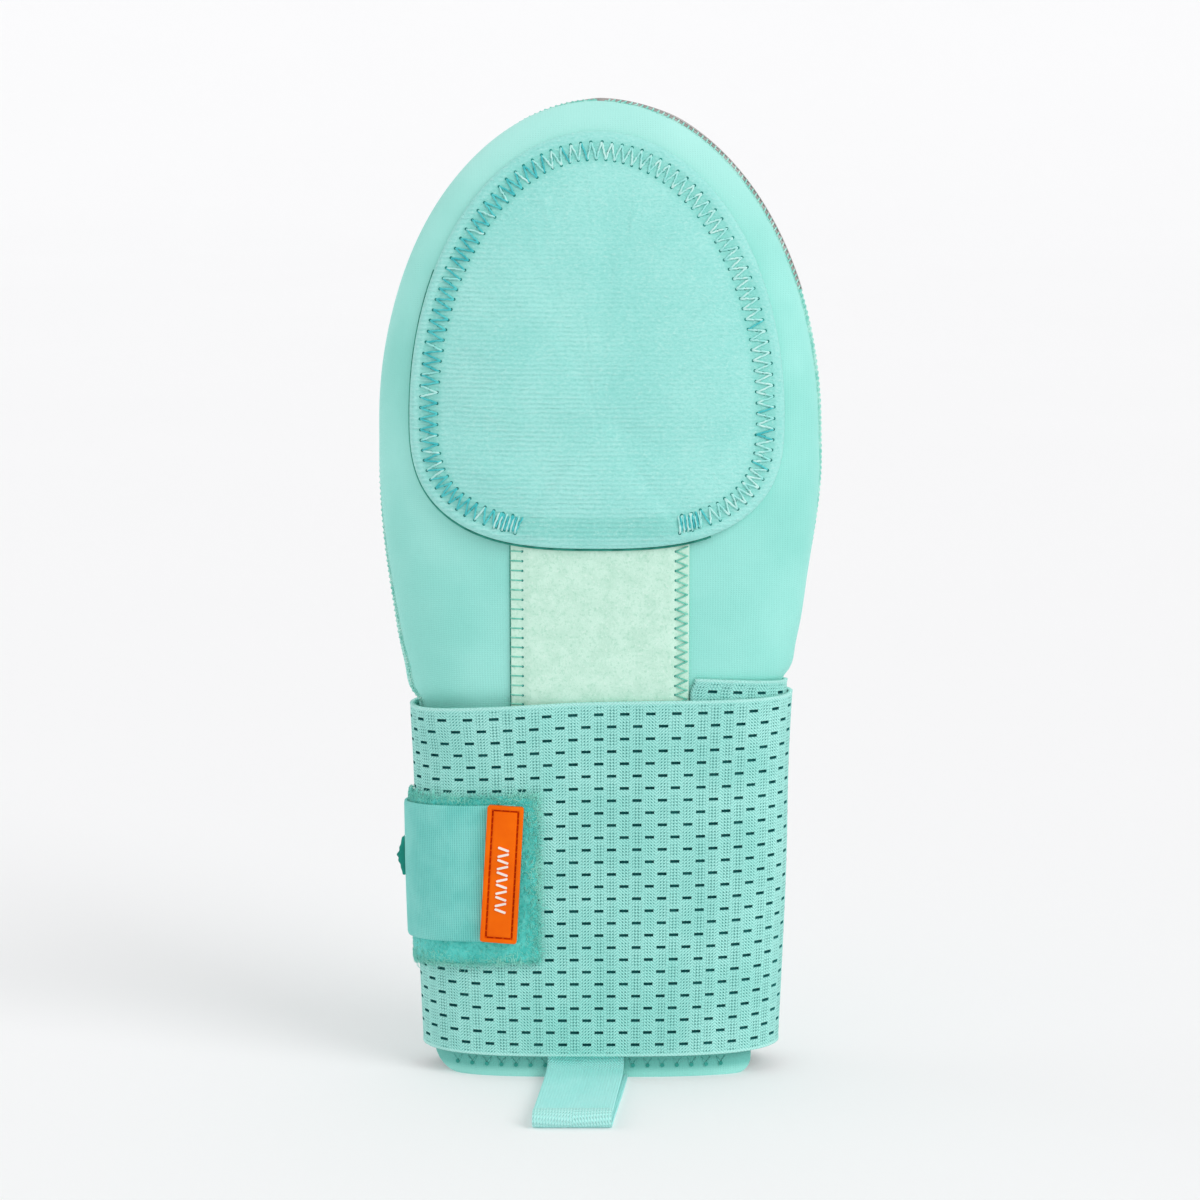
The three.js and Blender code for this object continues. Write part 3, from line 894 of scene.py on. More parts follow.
@dataclass
class Sheet:
    """A cloth wall made from a grid: an outer face, an inner face and the edge between them."""

    MAP = "Weave"

    columns: Sequence[float]
    rows: Sequence[float]
    outer: Place
    inner: Place
    weave: Weave
    closed: bool = False

    def build(self) -> tuple[BMesh, list[BMFace]]:
        """Makes the wall.

        Returns:
            The bmesh and its outer faces.
        """
        bm = bmesh.new()
        across, up = len(self.columns) - 1, len(self.rows) - 1
        bmesh.ops.create_grid(bm, x_segments=across, y_segments=up, size=1.0)
        uv = bm.loops.layers.uv.new(self.MAP)
        seat = bm.verts.layers.float_vector.new("seat")
        for vertex in bm.verts:
            column = self.columns[round((vertex.co.x + 1) / 2 * across)]
            row = self.rows[round((vertex.co.y + 1) / 2 * up)]
            vertex[seat] = (column, row, 0)
        for face in bm.faces:
            for loop in face.loops:
                loop[uv].uv = self.weave(loop.vert[seat].x, loop.vert[seat].y)
        if self.closed:
            self.weld(bm, seat)
        grown = bmesh.ops.extrude_face_region(bm, geom=bm.faces[:])["geom"]
        raised = {item for item in grown if isinstance(item, BMVert)}
        for vertex in bm.verts:
            place = self.outer if vertex in raised else self.inner
            vertex.co = place(vertex[seat].x, vertex[seat].y)
        face_outwards(bm)
        return bm, [item for item in grown if isinstance(item, BMFace)]

    def weld(self, bm: BMesh, seat: BMLayerItem) -> None:
        """Joins the last column to the first and draws the first row together, for a round sheet.

        Args:
            bm: The sheet.
            seat: Layer that holds each point's column and row.
        """
        first = {vertex[seat].y: vertex for vertex in bm.verts if vertex[seat].x == self.single(self.columns[0])}
        pole = first[self.single(self.rows[0])]
        last = self.single(self.columns[-1])
        joined = {v: first[v[seat].y] for v in bm.verts if v[seat].x == last and v[seat].y != pole[seat].y}
        joined.update({v: pole for v in bm.verts if v[seat].y == pole[seat].y and v is not pole})
        bmesh.ops.weld_verts(bm, targetmap=joined)

    @staticmethod
    def single(value: float) -> float:
        """A number as the mesh keeps it, in single precision."""
        return Vector((value, 0, 0)).x


def stood(name: str, data: bpy.types.ID) -> bpy.types.Object:
    """Puts a mesh, curve, lamp or camera into the scene.

    Args:
        name: The object's name.
        data: What it holds.

    Returns:
        The object.
    """
    made = bpy.data.objects.new(name, data)
    bpy.context.scene.collection.objects.link(made)
    return made


def mesh_of(curve: bpy.types.Curve) -> bpy.types.Mesh:
    """Turns a curve into a mesh.

    Args:
        curve: The curve, used up here.

    Returns:
        The mesh.
    """
    holder = stood(f"{curve.name}_line", curve)
    bpy.context.view_layer.update()
    mesh = bpy.data.meshes.new_from_object(holder.evaluated_get(bpy.context.evaluated_depsgraph_get()))
    bpy.data.objects.remove(holder)
    bpy.data.curves.remove(curve)
    return mesh


def face_outwards(bm: BMesh) -> None:
    """Turns the faces of a closed shape outwards, judged by the room that they enclose.

    Args:
        bm: The shape.
    """
    bmesh.ops.recalc_face_normals(bm, faces=bm.faces)
    if bm.calc_volume(signed=True) < 0:
        bmesh.ops.reverse_faces(bm, faces=bm.faces)


def round_rims(bm: BMesh, offset: float, segments: int = 2, angle: float = 60.0) -> None:
    """Rounds the sharp edges of a wall.

    Args:
        bm: The wall.
        offset: Width of the rounding in millimetres.
        segments: Faces across the rounding.
        angle: Least angle between two faces that counts as sharp, in degrees.
    """
    sharp = [e for e in bm.edges if len(e.link_faces) == 2 and e.calc_face_angle() > math.radians(angle)]
    bmesh.ops.bevel(bm, geom=sharp, offset=offset, offset_type="OFFSET", segments=segments, profile=0.5,
                    affect="EDGES", material=-1, clamp_overlap=True)


class Workshop:
    """Turns finished shapes into pieces of the scene."""

    def __init__(self, body: Body) -> None:
        """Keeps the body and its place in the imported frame."""
        self.body = body
        self.to_frame = Matrix.Translation(body.shift()) @ Matrix.Scale(MM, 4)

    def piece(self, name: str, bm: BMesh, finishes: Sequence[Finish], slot: str,
              nodes: Iterable[str] = (), smooth: bool = True) -> bpy.types.Object:
        """Makes a bmesh in millimetres a piece that rides on the mitt.

        Args:
            name: The piece's name.
            bm: Its shape, freed here.
            finishes: Its materials, in order of the faces' numbers.
            slot: The record's slot, handed on to dress.
            nodes: CAD nodes that it stands for.
            smooth: Whether its faces are shaded smooth.

        Returns:
            The piece.
        """
        bmesh.ops.transform(bm, matrix=self.to_frame, verts=bm.verts)
        for face in bm.faces:
            face.smooth = smooth
        mesh = bpy.data.meshes.new(name)
        bm.to_mesh(mesh)
        bm.free()
        return self.dress(name, mesh, finishes, slot, nodes)

    def dress(self, name: str, mesh: bpy.types.Mesh, finishes: Sequence[Finish], slot: str,
              nodes: Iterable[str] = ()) -> bpy.types.Object:
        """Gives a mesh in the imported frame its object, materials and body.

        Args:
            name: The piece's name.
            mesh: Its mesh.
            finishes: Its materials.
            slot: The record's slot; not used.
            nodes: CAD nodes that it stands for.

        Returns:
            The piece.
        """
        for finish in finishes:
            mesh.materials.append(finish.make())
        made = stood(name, mesh)
        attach(made, "root")
        if nodes:
            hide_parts(*nodes)
        LOG.info("%s: %d faces", name, len(mesh.polygons))
        return made

    def threads(self, name: str, runs: Iterable[Sequence[Vector]], radius: float, finish: Finish, slot: str,
                sides: int = 1) -> None:
        """Makes many short threads one piece.

        Args:
            name: The piece's name.
            runs: The points of each thread, in millimetres.
            radius: The threads' radius in millimetres.
            finish: Their material.
            slot: The record's slot.
            sides: Roundness of the threads, 0 for four sides and 1 for six.
        """
        curve = bpy.data.curves.new(name, "CURVE")
        curve.dimensions = "3D"
        curve.bevel_depth = radius * MM
        curve.bevel_resolution = sides
        for run in runs:
            spline = curve.splines.new("POLY")
            spline.points.add(len(run) - 1)
            for point, place in zip(spline.points, run):
                point.co = (*(self.to_frame @ place), 1.0)
        mesh = mesh_of(curve)
        bm = bmesh.new()
        bm.from_mesh(mesh)
        bmesh.ops.holes_fill(bm, edges=[edge for edge in bm.edges if edge.is_boundary], sides=0)
        bmesh.ops.recalc_face_normals(bm, faces=bm.faces)
        for face in bm.faces:
            face.smooth = True
        bm.to_mesh(mesh)
        bm.free()
        self.dress(name, mesh, [finish], slot)

    def dots(self, name: str, places: Iterable[Spot], radius: float, finish: Finish, slot: str) -> None:
        """Makes needle holes one piece: small dark plugs sunk in the cloth, painted shade of the holes.

        Args:
            name: The piece's name.
            places: Each hole's middle and the way its surface faces.
            radius: The holes' radius in millimetres.
            finish: Their material.
            slot: The record's slot.
        """
        bm = bmesh.new()
        for middle, out in places:
            turn = out.to_track_quat("Z", "Y").to_matrix().to_4x4()
            seat = Matrix.Translation(middle) @ turn
            sunk = seat @ Matrix.Translation((0, 0, -radius * 0.42))
            bmesh.ops.create_cone(bm, cap_ends=True, segments=7, radius1=radius * 0.7, radius2=radius,
                                  depth=radius, matrix=sunk)
        self.piece(name, bm, [finish], slot, smooth=False)


@dataclass
class Shell:
    """The two neoprene panels, their edge seam, the grey guard and the hem's stitches."""

    shop: Workshop
    thickness: float = 3.0
    columns: int = 112
    shank_rows: int = 110
    crown_rows: int = 56
    pinch: float = 0.35
    pinch_reach: float = 3.4
    crown_end: float = 0.004
    stitch_pitch: float = 1.55
    stitch_reach: float = 1.5
    thread: float = 0.24
    hem_pitch: float = 4.1
    hem_level: float = 3.4
    guard_drop: float = 52.5
    guard_thickness: float = 1.0
    guard_inner: float = 0.06
    guard_outer: float = 0.32
    core_radius: float = 0.5
    map_width: float = 150.0

    HEM_ROWS = (0, 0.15, 0.5, 1.1, 2.0, 3.2, 4.8, 6.4, 8.0)
    OVER = ((1, -0.1), (0.8, 0.2), (0.4, 0.34), (0.0, 0.52), (-0.35, 0.46))
    BEHIND = ((-0.35, 0.46), (-0.7, 0.4), (-1.1, -0.05))
    NEEDLE = (0.08, 0.35, 0.65, 0.92)

    def levels(self) -> list[float]:
        """Heights of the panels' rows: close at the hem, then even, then round the crown.

        Returns:
            The heights, rising.
        """
        body = self.shop.body
        shank = spread(self.HEM_ROWS[-1], body.crown_start, self.shank_rows)[1:]
        angles = spread(0, math.acos(self.crown_end), self.crown_rows)[1:]
        crown = [body.crown_start + body.crown_height * math.sin(angle) for angle in angles]
        return [*self.HEM_ROWS, *shank, *crown]

    def turn(self, share: float, height: float, facing: Facing) -> float:
        """Turn at a share of the way from a panel's left edge to its right edge.

        Args:
            share: The share.
            height: Its height.
            facing: The panel.

        Returns:
            The turn.
        """
        body = self.shop.body
        left = body.edge(height, Side.LEFT, facing)
        right = body.edge(height, Side.RIGHT, facing)
        return left + (right - left) * share

    def growth(self, share: float, height: float, facing: Facing) -> float:
        """How far the outer face swells or is drawn in: the seam pinches it, and foam is never quite even.

        Args:
            share: Share of the way across.
            height: Its height.
            facing: The panel.

        Returns:
            Millimetres outwards.
        """
        body = self.shop.body
        girth = body.cut(height).half_width * 2.4
        reach = min(share, 1 - share) * girth
        seam = smoothstep(height, body.slit_top - body.slit_blend, body.slit_top + 4)
        pinched = -self.pinch * math.exp(-((reach / self.pinch_reach) ** 2)) * seam
        spot = Vector((share * girth / 22, height / 30, 3.0 * facing.value))
        return pinched + 0.3 * noise.noise(spot) * smoothstep(reach, 0, 12)

    def panel(self, facing: Facing) -> None:
        """Builds one panel.

        Args:
            facing: Which of the two.
        """
        body = self.shop.body

        def around(share: float, height: float) -> float:
            """Turn about the body."""
            turn = self.turn(share, height, facing)
            return turn if facing is Facing.FRONT else 0.5 - turn

        def outer(share: float, height: float) -> Vector:
            """Outer face."""
            return body.point(height, around(share, height), self.growth(share, height, facing))

        def inner(share: float, height: float) -> Vector:
            """Inner face."""
            return body.point(height, around(share, height), -self.thickness)

        ease = [0.5 - 0.5 * math.cos(math.pi * share) for share in spread(0, 1, self.columns)]
        even = spread(0, 1, self.columns)
        columns = [(a + b) / 2 for a, b in zip(ease, even)]
        sheet = Sheet(columns, self.levels(), outer, inner, lambda s, h: (s * self.map_width, h))
        bm, _ = sheet.build()
        round_rims(bm, 0.5, 3)
        name = f"{facing.name.lower()}_neoprene"
        self.shop.piece(name, bm, [NEOPRENE], "aqua_neoprene", [f"{facing.name.lower()}_panel"])

    def guard(self) -> None:
        """Builds the grey layer over the back of the finger end."""
        body = self.shop.body
        low = math.asin((body.height - self.guard_drop - body.crown_start) / body.crown_height)
        angles = spread(low, math.acos(self.crown_end), self.crown_rows)
        rows = [body.crown_start + body.crown_height * math.sin(angle) for angle in angles]

        def at(share: float, height: float, growth: float) -> Vector:
            """Point over the back, drawn in from the seams."""
            drawn_in = 1.7 / (2.4 * body.cut(height).half_width + 4)
            share = drawn_in + share * (1 - 2 * drawn_in)
            turn = 0.5 - self.turn(share, height, Facing.BACK)
            return body.point(height, turn, growth)

        def swell(share: float, height: float) -> float:
            """Thickness of the guard, thin at its sides and tip."""
            tip = 1 - 0.8 * smoothstep(height, body.height - 7, body.height - 0.5)
            return self.guard_thickness * smoothstep(min(share, 1 - share), 0.02, 0.14) * tip

        sheet = Sheet(
            spread(0, 1, self.columns),
            rows,
            lambda s, h: at(s, h, self.guard_outer + swell(s, h)),
            lambda s, h: at(s, h, self.guard_inner + 0.24 * swell(s, h)),
            lambda s, h: (s * self.map_width, h),
        )
        bm, _ = sheet.build()
        round_rims(bm, 0.1)
        self.shop.piece("tip_guard_cloth", bm, [GUARD], "guard_grey", ["tip_guard"])

    def seam_places(self) -> list[tuple[float, Side]]:
        """Heights of the edge stitches, evenly spaced up the right side and down the left.

        Returns:
            Height and side of each stitch.
        """
        body = self.shop.body
        angles = spread(0, math.acos(self.crown_end), 400)
        ladder = spread(body.slit_top, body.crown_start, 300)
        ladder += [body.crown_start + body.crown_height * math.sin(angle) for angle in angles[1:]]
        made: list[tuple[float, Side]] = []
        for side in Side:
            walked = self.stitch_pitch / 2
            last = self.seam_point(ladder[0], side, 0, 0)
            rises = []
            for height in ladder[1:]:
                here = self.seam_point(height, side, 0, 0)
                walked += (here - last).length
                last = here
                if walked >= self.stitch_pitch:
                    walked -= self.stitch_pitch
                    rises.append((height, side))
            made += rises if side is Side.RIGHT else rises[::-1]
        return made

    def seam_point(self, height: float, side: Side, away: float, lift: float) -> Vector:
        """Point near the edge seam.

        Args:
            height: Its height.
            side: The mitt's side.
            away: Distance from the seam, to the front if above 0 and to the back if below.
            lift: Height above the cloth.

        Returns:
            The point, in millimetres.
        """
        body = self.shop.body
        turn = body.edge(height, side, Facing.FRONT)
        cut = body.cut(height, 0, side.value)
        depth = cut.front * (1 + cut.fullness)
        step = away / (TURN * max(depth, 2.5))
        drawn = -self.pinch * math.exp(-((away / self.pinch_reach) ** 2))
        return body.point(height, turn - side.value * step, drawn + lift)

    def seam(self) -> None:
        """Sews the overlock stitches over the panels' edges."""
        places = self.seam_places()
        pairs = [pair for pair in zip(places, places[1:]) if pair[0][1] is pair[1][1]]
        over: Runs = []
        grey: Runs = []
        needle: Runs = []
        holes: list[Spot] = []
        chance = random.Random(11)
        guard_level = self.shop.body.height - self.guard_drop
        for (height, side), (following, _) in pairs:
            middle = (height + following) / 2
            reach = self.stitch_reach + chance.uniform(-0.15, 0.15)
            out = [self.seam_point(height + (middle - height) * (1 - s) / 1.35, side, reach * s, r)
                   for s, r in self.OVER]
            run = [self.seam_point(middle + (following - middle) * (-s - 0.35), side, reach * s, r)
                   for s, r in self.BEHIND]
            (grey if height > guard_level and side is Side.RIGHT else over).append(run)
            over.append(out)
            line = [self.seam_point(height + (following - height) * t, side, reach, 0.2 * math.sin(math.pi * t) - 0.06)
                    for t in self.NEEDLE]
            needle.append(line)
            spot = self.seam_point(height, side, reach, 0.0)
            holes.append((spot, (self.seam_point(height, side, reach, 1.0) - spot).normalized()))
        ladder = {side: sorted({height for height, at_side in places if at_side is side}) for side in Side}
        core = {side: [self.seam_point(height, side, -0.2, 0.0) for height in ladder[side]] for side in Side}
        low = sum(1 for height in ladder[Side.RIGHT] if height < guard_level)
        plain = [core[Side.LEFT], core[Side.RIGHT][: low + 1]]
        self.shop.threads("edge_core", plain, self.core_radius, MINT_THREAD, "aqua_neoprene")
        grey_core = [*core[Side.RIGHT][low:], core[Side.LEFT][-1]]
        self.shop.threads("edge_core_grey", [grey_core], self.core_radius, GREY_THREAD, "guard_grey")
        self.shop.threads("edge_overlock", over, self.thread, MINT_THREAD, "aqua_neoprene")
        self.shop.threads("edge_needle_line", needle, self.thread * 0.7, MINT_THREAD, "aqua_neoprene")
        self.shop.threads("edge_back_threads", grey, self.thread, GREY_THREAD, "guard_grey")
        self.shop.dots("edge_needle_holes", holes, 0.3, NEEDLE_HOLE_SHADE, "aqua_neoprene")

    def hem(self) -> None:
        """Sews the row of slanting stitches along the front hem."""
        body = self.shop.body
        reach_left, reach_right = body.reach_left - 5, body.reach_right - 4
        count = int((reach_left + reach_right) / self.hem_pitch)
        legs: Runs = []
        holes: list[Spot] = []
        for i in range(count):
            x = -reach_left + self.hem_pitch * (i + 0.5)
            for lean in (-1, 1):
                foot = body.front(x, self.hem_level, -0.15)
                knee = body.front(x + lean * 0.6, self.hem_level + 1.0, 0.16)
                head = body.front(x + lean * 1.2, self.hem_level + 2.0, -0.1)
                legs.append([foot, knee, head])
            holes.append((body.front(x, self.hem_level, 0.32), body.outwards(x, self.hem_level)))
        self.shop.threads("hem_stitches", legs, 0.2, HEM_THREAD, "aqua_neoprene")
        self.shop.dots("hem_needle_holes", holes, 0.6, DIMPLE_SHADE, "aqua_neoprene")

    def make(self) -> None:
        """Builds the panels, the guard and their stitches."""
        self.panel(Facing.FRONT)
        self.panel(Facing.BACK)
        self.guard()
        self.seam()
        self.hem()


@dataclass
class Pad:
    """Oval brushed pad: a stuffed piece sewn down by a zigzag, its mouth open at the bottom."""

    shop: Workshop
    half_width: float = 50.8
    top_height: float = 77.0
    bottom_height: float = 35.3
    mid_height: float = 186.1
    thickness: float = 3.0
    centre_x: float = -0.8
    top_power: float = 2.05
    bottom_power: float = 2.8
    mouth_half_width: float = 21.0
    mouth_depth: float = 14.0
    strip_width: float = 49.0
    strip_thickness: float = 1.0
    rim_height: float = 1.3
    seam_height: float = 2.1
    outer_line: float = 3.2
    inner_line: float = 7.7
    stitch_pitch: float = 3.05
    thread: float = 0.28
    most_swell: float = 0.8
    frames: int = 14
    cover_mass: float = 0.002
    cover_pull: float = 0.6
    cover_bend: float = 0.002
    cover_pressure: float = 14.0
    walk_steps: int = 1600
    open_mouth: float = 0.55
    tacks: int = 11
    tack_pitch: float = 0.62
    teal_edge: float = -14.0
    shadow_from: float = -46.0
    shadow_to: float = -222.0

    LEG = ((0, -0.25), (0.08, 0.12), (0.2, 0.28), (0.34, 0.34), (0.45, 0.3))
    LEG_END = ((0.55, 0.3), (0.66, 0.34), (0.8, 0.28), (0.92, 0.12), (1, -0.25))
    TACK = ((0, -0.1), (0.15, 0.4), (0.4, 0.5), (0.6, 0.5), (0.85, 0.4), (1, -0.1))
    CORE = (0.93, 0.85, 0.76, 0.66, 0.55, 0.43, 0.3, 0.16, 0.0)

    def outline(self, angle: float) -> Vector:
        """Point of the outline at an angle, 0 at the right and a quarter turn at the top, as x and rise.

        Args:
            angle: The angle.

        Returns:
            The point, with no height.
        """
        sine, cosine = math.sin(angle), math.cos(angle)
        tall, power = (self.top_height, self.top_power) if sine > 0 else (self.bottom_height, self.bottom_power)
        reach = (abs(cosine / self.half_width) ** power + abs(sine / tall) ** power) ** (-1 / power)
        return Vector((reach * cosine, reach * sine, 0))

    def walk(self) -> list[tuple[float, float]]:
        """Angle and length walked along the outline, from the mouth's right end round to its left end.

        Returns:
            Angles with the lengths up to them.
        """
        start = -math.pi / 2
        angles = [start + TURN * i / self.walk_steps for i in range(self.walk_steps + 1)]
        return list(zip(angles, walked_along([self.outline(angle) for angle in angles])))

    def inward(self, angle: float, distance: float) -> Vector:
        """Point inside the outline, a distance from it, as x and rise.

        Args:
            angle: Angle of the outline's point.
            distance: The distance.

        Returns:
            The point.
        """
        edge = self.outline(angle)
        step = 0.002
        along = (self.outline(angle + step) - self.outline(angle - step)).normalized()
        return edge + Vector((-along.y, along.x, 0)) * distance

    def lift(self, x: float, height: float) -> float:
        """How far the pad stands off the front: its mouth passes over the suede strip.

        Args:
            x: Place across.
            height: Its height.

        Returns:
            Millimetres off the front.
        """
        inside = self.mouth_half_width + self.strip_width / 2 - abs(x)
        across = smoothstep(inside, 0, self.mouth_half_width)
        bottom = self.mid_height - self.bottom_height
        along = 1 - smoothstep(height, bottom + self.mouth_depth, bottom + 2 * self.mouth_depth)
        return GAP + (self.strip_thickness + GAP) * across * along

    def profile(self, distance: float, mouth: float) -> float:
        """Thickness at a distance from the edge: a rolled rim, the sewn band, then the full pad.

        Args:
            distance: The distance.
            mouth: Share of the open mouth.

        Returns:
            The thickness.
        """
        rim = self.rim_height + 1.0 * math.sin(math.pi / 2 * min(1, distance / 1.3))
        band = self.seam_height - (self.seam_height - 1.9) * smoothstep(distance, 2.4, 5.0)
        band += (self.thickness - 1.9) * smoothstep(distance, 6.8, 16.0)
        share = smoothstep(distance, 1.2, 2.8)
        sewn = rim + (band - rim) * share
        loose = self.rim_height + (self.thickness - self.rim_height) * smoothstep(distance, 0, 2.6)
        return sewn + (loose - sewn) * mouth

    def seat(self, x: float, rise: float, up: float) -> Vector:
        """Point above the pad's underside at x and rise."""
        height = self.mid_height + rise
        return self.shop.body.front(self.centre_x + x, height, self.lift(x, height) + up)

    def mouth(self, angle: float) -> float:
        """1 along the open mouth at the bottom, 0 where the pad is sewn down."""
        x = abs(self.outline(angle).x)
        return (1 - smoothstep(x, 19.0, 25.0)) * (1 if math.sin(angle) < 0 else 0)

    def cushion(self) -> bpy.types.Object:
        """Builds the pad and lets its cover swell between the needle points.

        Returns:
            The pad.
        """
        track = self.walk()
        girth = track[-1][1]
        around = 4 * round(girth / self.stitch_pitch)
        depths = [0, 0.35, 0.8, 1.3, 1.9, 2.5, self.outer_line, 4.1, 5.3, 6.5, self.inner_line, 9, 11, 14]
        rings = [*depths, *self.CORE]
        split = len(depths)
        keys = [length for _, length in track]
        angles = [track[min(bisect(keys, girth * i / around), len(track) - 1)][0] for i in range(around + 1)]

        def spot(angle: float, ring: float) -> tuple[Vector, float]:
            """Place on a ring, and its distance from the edge."""
            index = int(ring)
            if index < split:
                return self.inward(angle, rings[index]), rings[index]
            core = self.inward(angle, depths[-1])
            return core * rings[index], depths[-1] + 8

        def outer(column: float, ring: float) -> Vector:
            """Point of the cover."""
            angle = angles[round(column)]
            place, distance = spot(angle, ring)
            return self.seat(place.x, place.y, self.profile(distance, self.mouth(angle)))

        def inner(column: float, ring: float) -> Vector:
            """Point of the underside."""
            place, _ = spot(angles[round(column)], ring)
            return self.seat(place.x, place.y, 0)

        rows = [float(i) for i in reversed(range(len(rings)))]
        columns = [float(i) for i in range(around + 1)]
        bm, cover = Sheet(columns, rows, outer, inner, lambda c, r: (c, r), closed=True).build()
        seat = bm.verts.layers.float_vector["seat"]
        upper = {vertex for face in cover for vertex in face.verts}

        def held(vertex: BMVert) -> bool:
            """Whether a point is sewn down."""
            column, ring = round(vertex[seat].x), round(vertex[seat].y)
            if vertex not in upper or ring == 0:
                return True
            if ring >= split or self.mouth(angles[column]) > self.open_mouth:
                return False
            needle = {self.outer_line: (0,), 5.3: (1, 3), self.inner_line: (2,)}.get(rings[ring], ())
            return column % 4 in needle

        pins = [held(vertex) for vertex in bm.verts]
        made = self.shop.piece("pad_cushion", bm, [BRUSHED], "brushed_pad", ["pad_patch"])
        self.swell(made, pins)
        return made

    def swell(self, made: bpy.types.Object, pins: Sequence[bool]) -> None:
        """Lets the filling press the cover up between its needle points, as cloth, and keeps that shape.

        Args:
            made: The pad.
            pins: For each of its points, whether it is held still.
        """
        group = made.vertex_groups.new(name="sewn")
        group.add([i for i, pinned in enumerate(pins) if pinned], 1.0, "REPLACE")
        cloth = made.modifiers.new("cover", "CLOTH")
        settings = cloth.settings
        settings.vertex_group_mass = group.name
        settings.mass = self.cover_mass
        settings.quality = 6
        settings.tension_stiffness = settings.compression_stiffness = settings.shear_stiffness = self.cover_pull
        settings.bending_stiffness = self.cover_bend
        settings.air_damping = 1.0
        settings.use_pressure = True
        settings.uniform_pressure_force = self.cover_pressure
        settings.effector_weights.gravity = 0.0
        cloth.collision_settings.use_collision = False
        scene = bpy.context.scene
        for frame in range(1, self.frames + 1):
            scene.frame_set(frame)
        solved = made.evaluated_get(bpy.context.evaluated_depsgraph_get()).data
        reached = [vertex.co.copy() for vertex in solved.vertices]
        made.modifiers.remove(cloth)
        made.vertex_groups.remove(group)
        scene.frame_set(1)
        most = self.most_swell * MM
        moved = 0.0
        for vertex, end in zip(made.data.vertices, reached):
            step = end - vertex.co
            eased = most * (1 - math.exp(-step.length / most))
            moved = max(moved, eased)
            vertex.co += step.normalized() * eased
        made.data.update()
        LOG.info("pad_cushion: its cover swelled by up to %.2f mm", moved / MM)

    def zigzag(self, cushion: bpy.types.Object) -> None:
        """Sews the three-step zigzag round the pad, its bar tacks and its needle holes, and lays a dark cord under the
        rim as its painted shadow.

        Args:
            cushion: The pad, on whose cover the threads lie.
        """
        frame = self.shop.to_frame
        back = frame.inverted()
        cover = cushion.data
        tree = BVHTree.FromPolygons([v.co for v in cover.vertices], [p.vertices for p in cover.polygons])
        chance = random.Random(5)

        def on_top(angle: float, distance: float, up: float) -> Spot:
            """Point over the cover, and the way it faces there."""
            place = self.inward(angle, distance)
            high = frame @ self.seat(place.x, place.y, 9)
            low = frame @ self.seat(place.x, place.y, 0)
            hit, out, _, _ = tree.ray_cast(high, (low - high).normalized())
            out = out or (high - low).normalized()
            return back @ (hit or low) + out * up, out

        track = self.walk()
        girth = track[-1][1]
        pitch = girth / round(girth / self.stitch_pitch)
        keys = [length for _, length in track]

        def angle_at(length: float) -> float:
            """Angle at a length along the outline."""
            return track[min(bisect(keys, length), len(track) - 1)][0]

        sewn = [i * pitch / 2 for i in range(int(girth / pitch * 2))]
        sewn = [length for length in sewn if self.mouth(angle_at(length)) < self.open_mouth]
        pale: Runs = []
        teal: Runs = []
        holes: list[Spot] = []
        for i, length in enumerate(sewn):
            inwards = i % 2 == 0
            start, end = (self.outer_line, self.inner_line) if inwards else (self.inner_line, self.outer_line)
            start += chance.uniform(-0.15, 0.15)
            marks = (*self.LEG, (0.5, 0.1 if inwards else 0.3), *self.LEG_END)
            run = [on_top(angle_at(length + pitch / 2 * t), start + (end - start) * t, up)[0] for t, up in marks]
            share = 0.8 if run[0].x < self.teal_edge else 0.12
            (teal if chance.random() < share else pale).append(run)
            spots = [(0, start)] + ([(0.5, (start + end) / 2)] if inwards and i % 4 == 0 else [])
            for t, distance in spots:
                holes.append(on_top(angle_at(length + pitch / 2 * t), distance, 0.03))
        for end, way in ((sewn[0], 1), (sewn[-1], -1)):
            for i in range(self.tacks):
                length = end + way * i * self.tack_pitch
                low, high = self.outer_line - 0.2 + 0.5 * (i % 2), self.inner_line - 0.3 * (i % 3)
                tack = [on_top(angle_at(length + 0.4 * t), low + (high - low) * t, up)[0] for t, up in self.TACK]
                (teal if i % 2 else pale).append(tack)
                if i % 3 == 0:
                    holes.append(on_top(angle_at(length), low, 0.03))
        # A dark cord under the pad's rim down the left and round the bottom: painted shadow of the rim, away from the
        # light.
        start, end = math.radians(self.shadow_from), math.radians(self.shadow_to)
        rim = [self.inward(start + (end - start) * t, -0.5) for t in spread(0, 1, 260)]
        shade = [[self.seat(place.x, place.y, 0.1) for place in rim]]
        self.shop.threads("pad_shadow_line", shade, 0.4, SHADOW_CORD, "brushed_pad")
        self.shop.threads("pad_zigzag_pale", pale, self.thread, PALE_THREAD, "brushed_pad")
        self.shop.threads("pad_zigzag_teal", teal, self.thread, TEAL_THREAD, "brushed_pad")
        self.shop.dots("pad_needle_holes", holes, 0.44, NEEDLE_HOLE_SHADE, "brushed_pad")

    def make(self) -> None:
        """Builds the pad and its stitches."""
        self.zigzag(self.cushion())


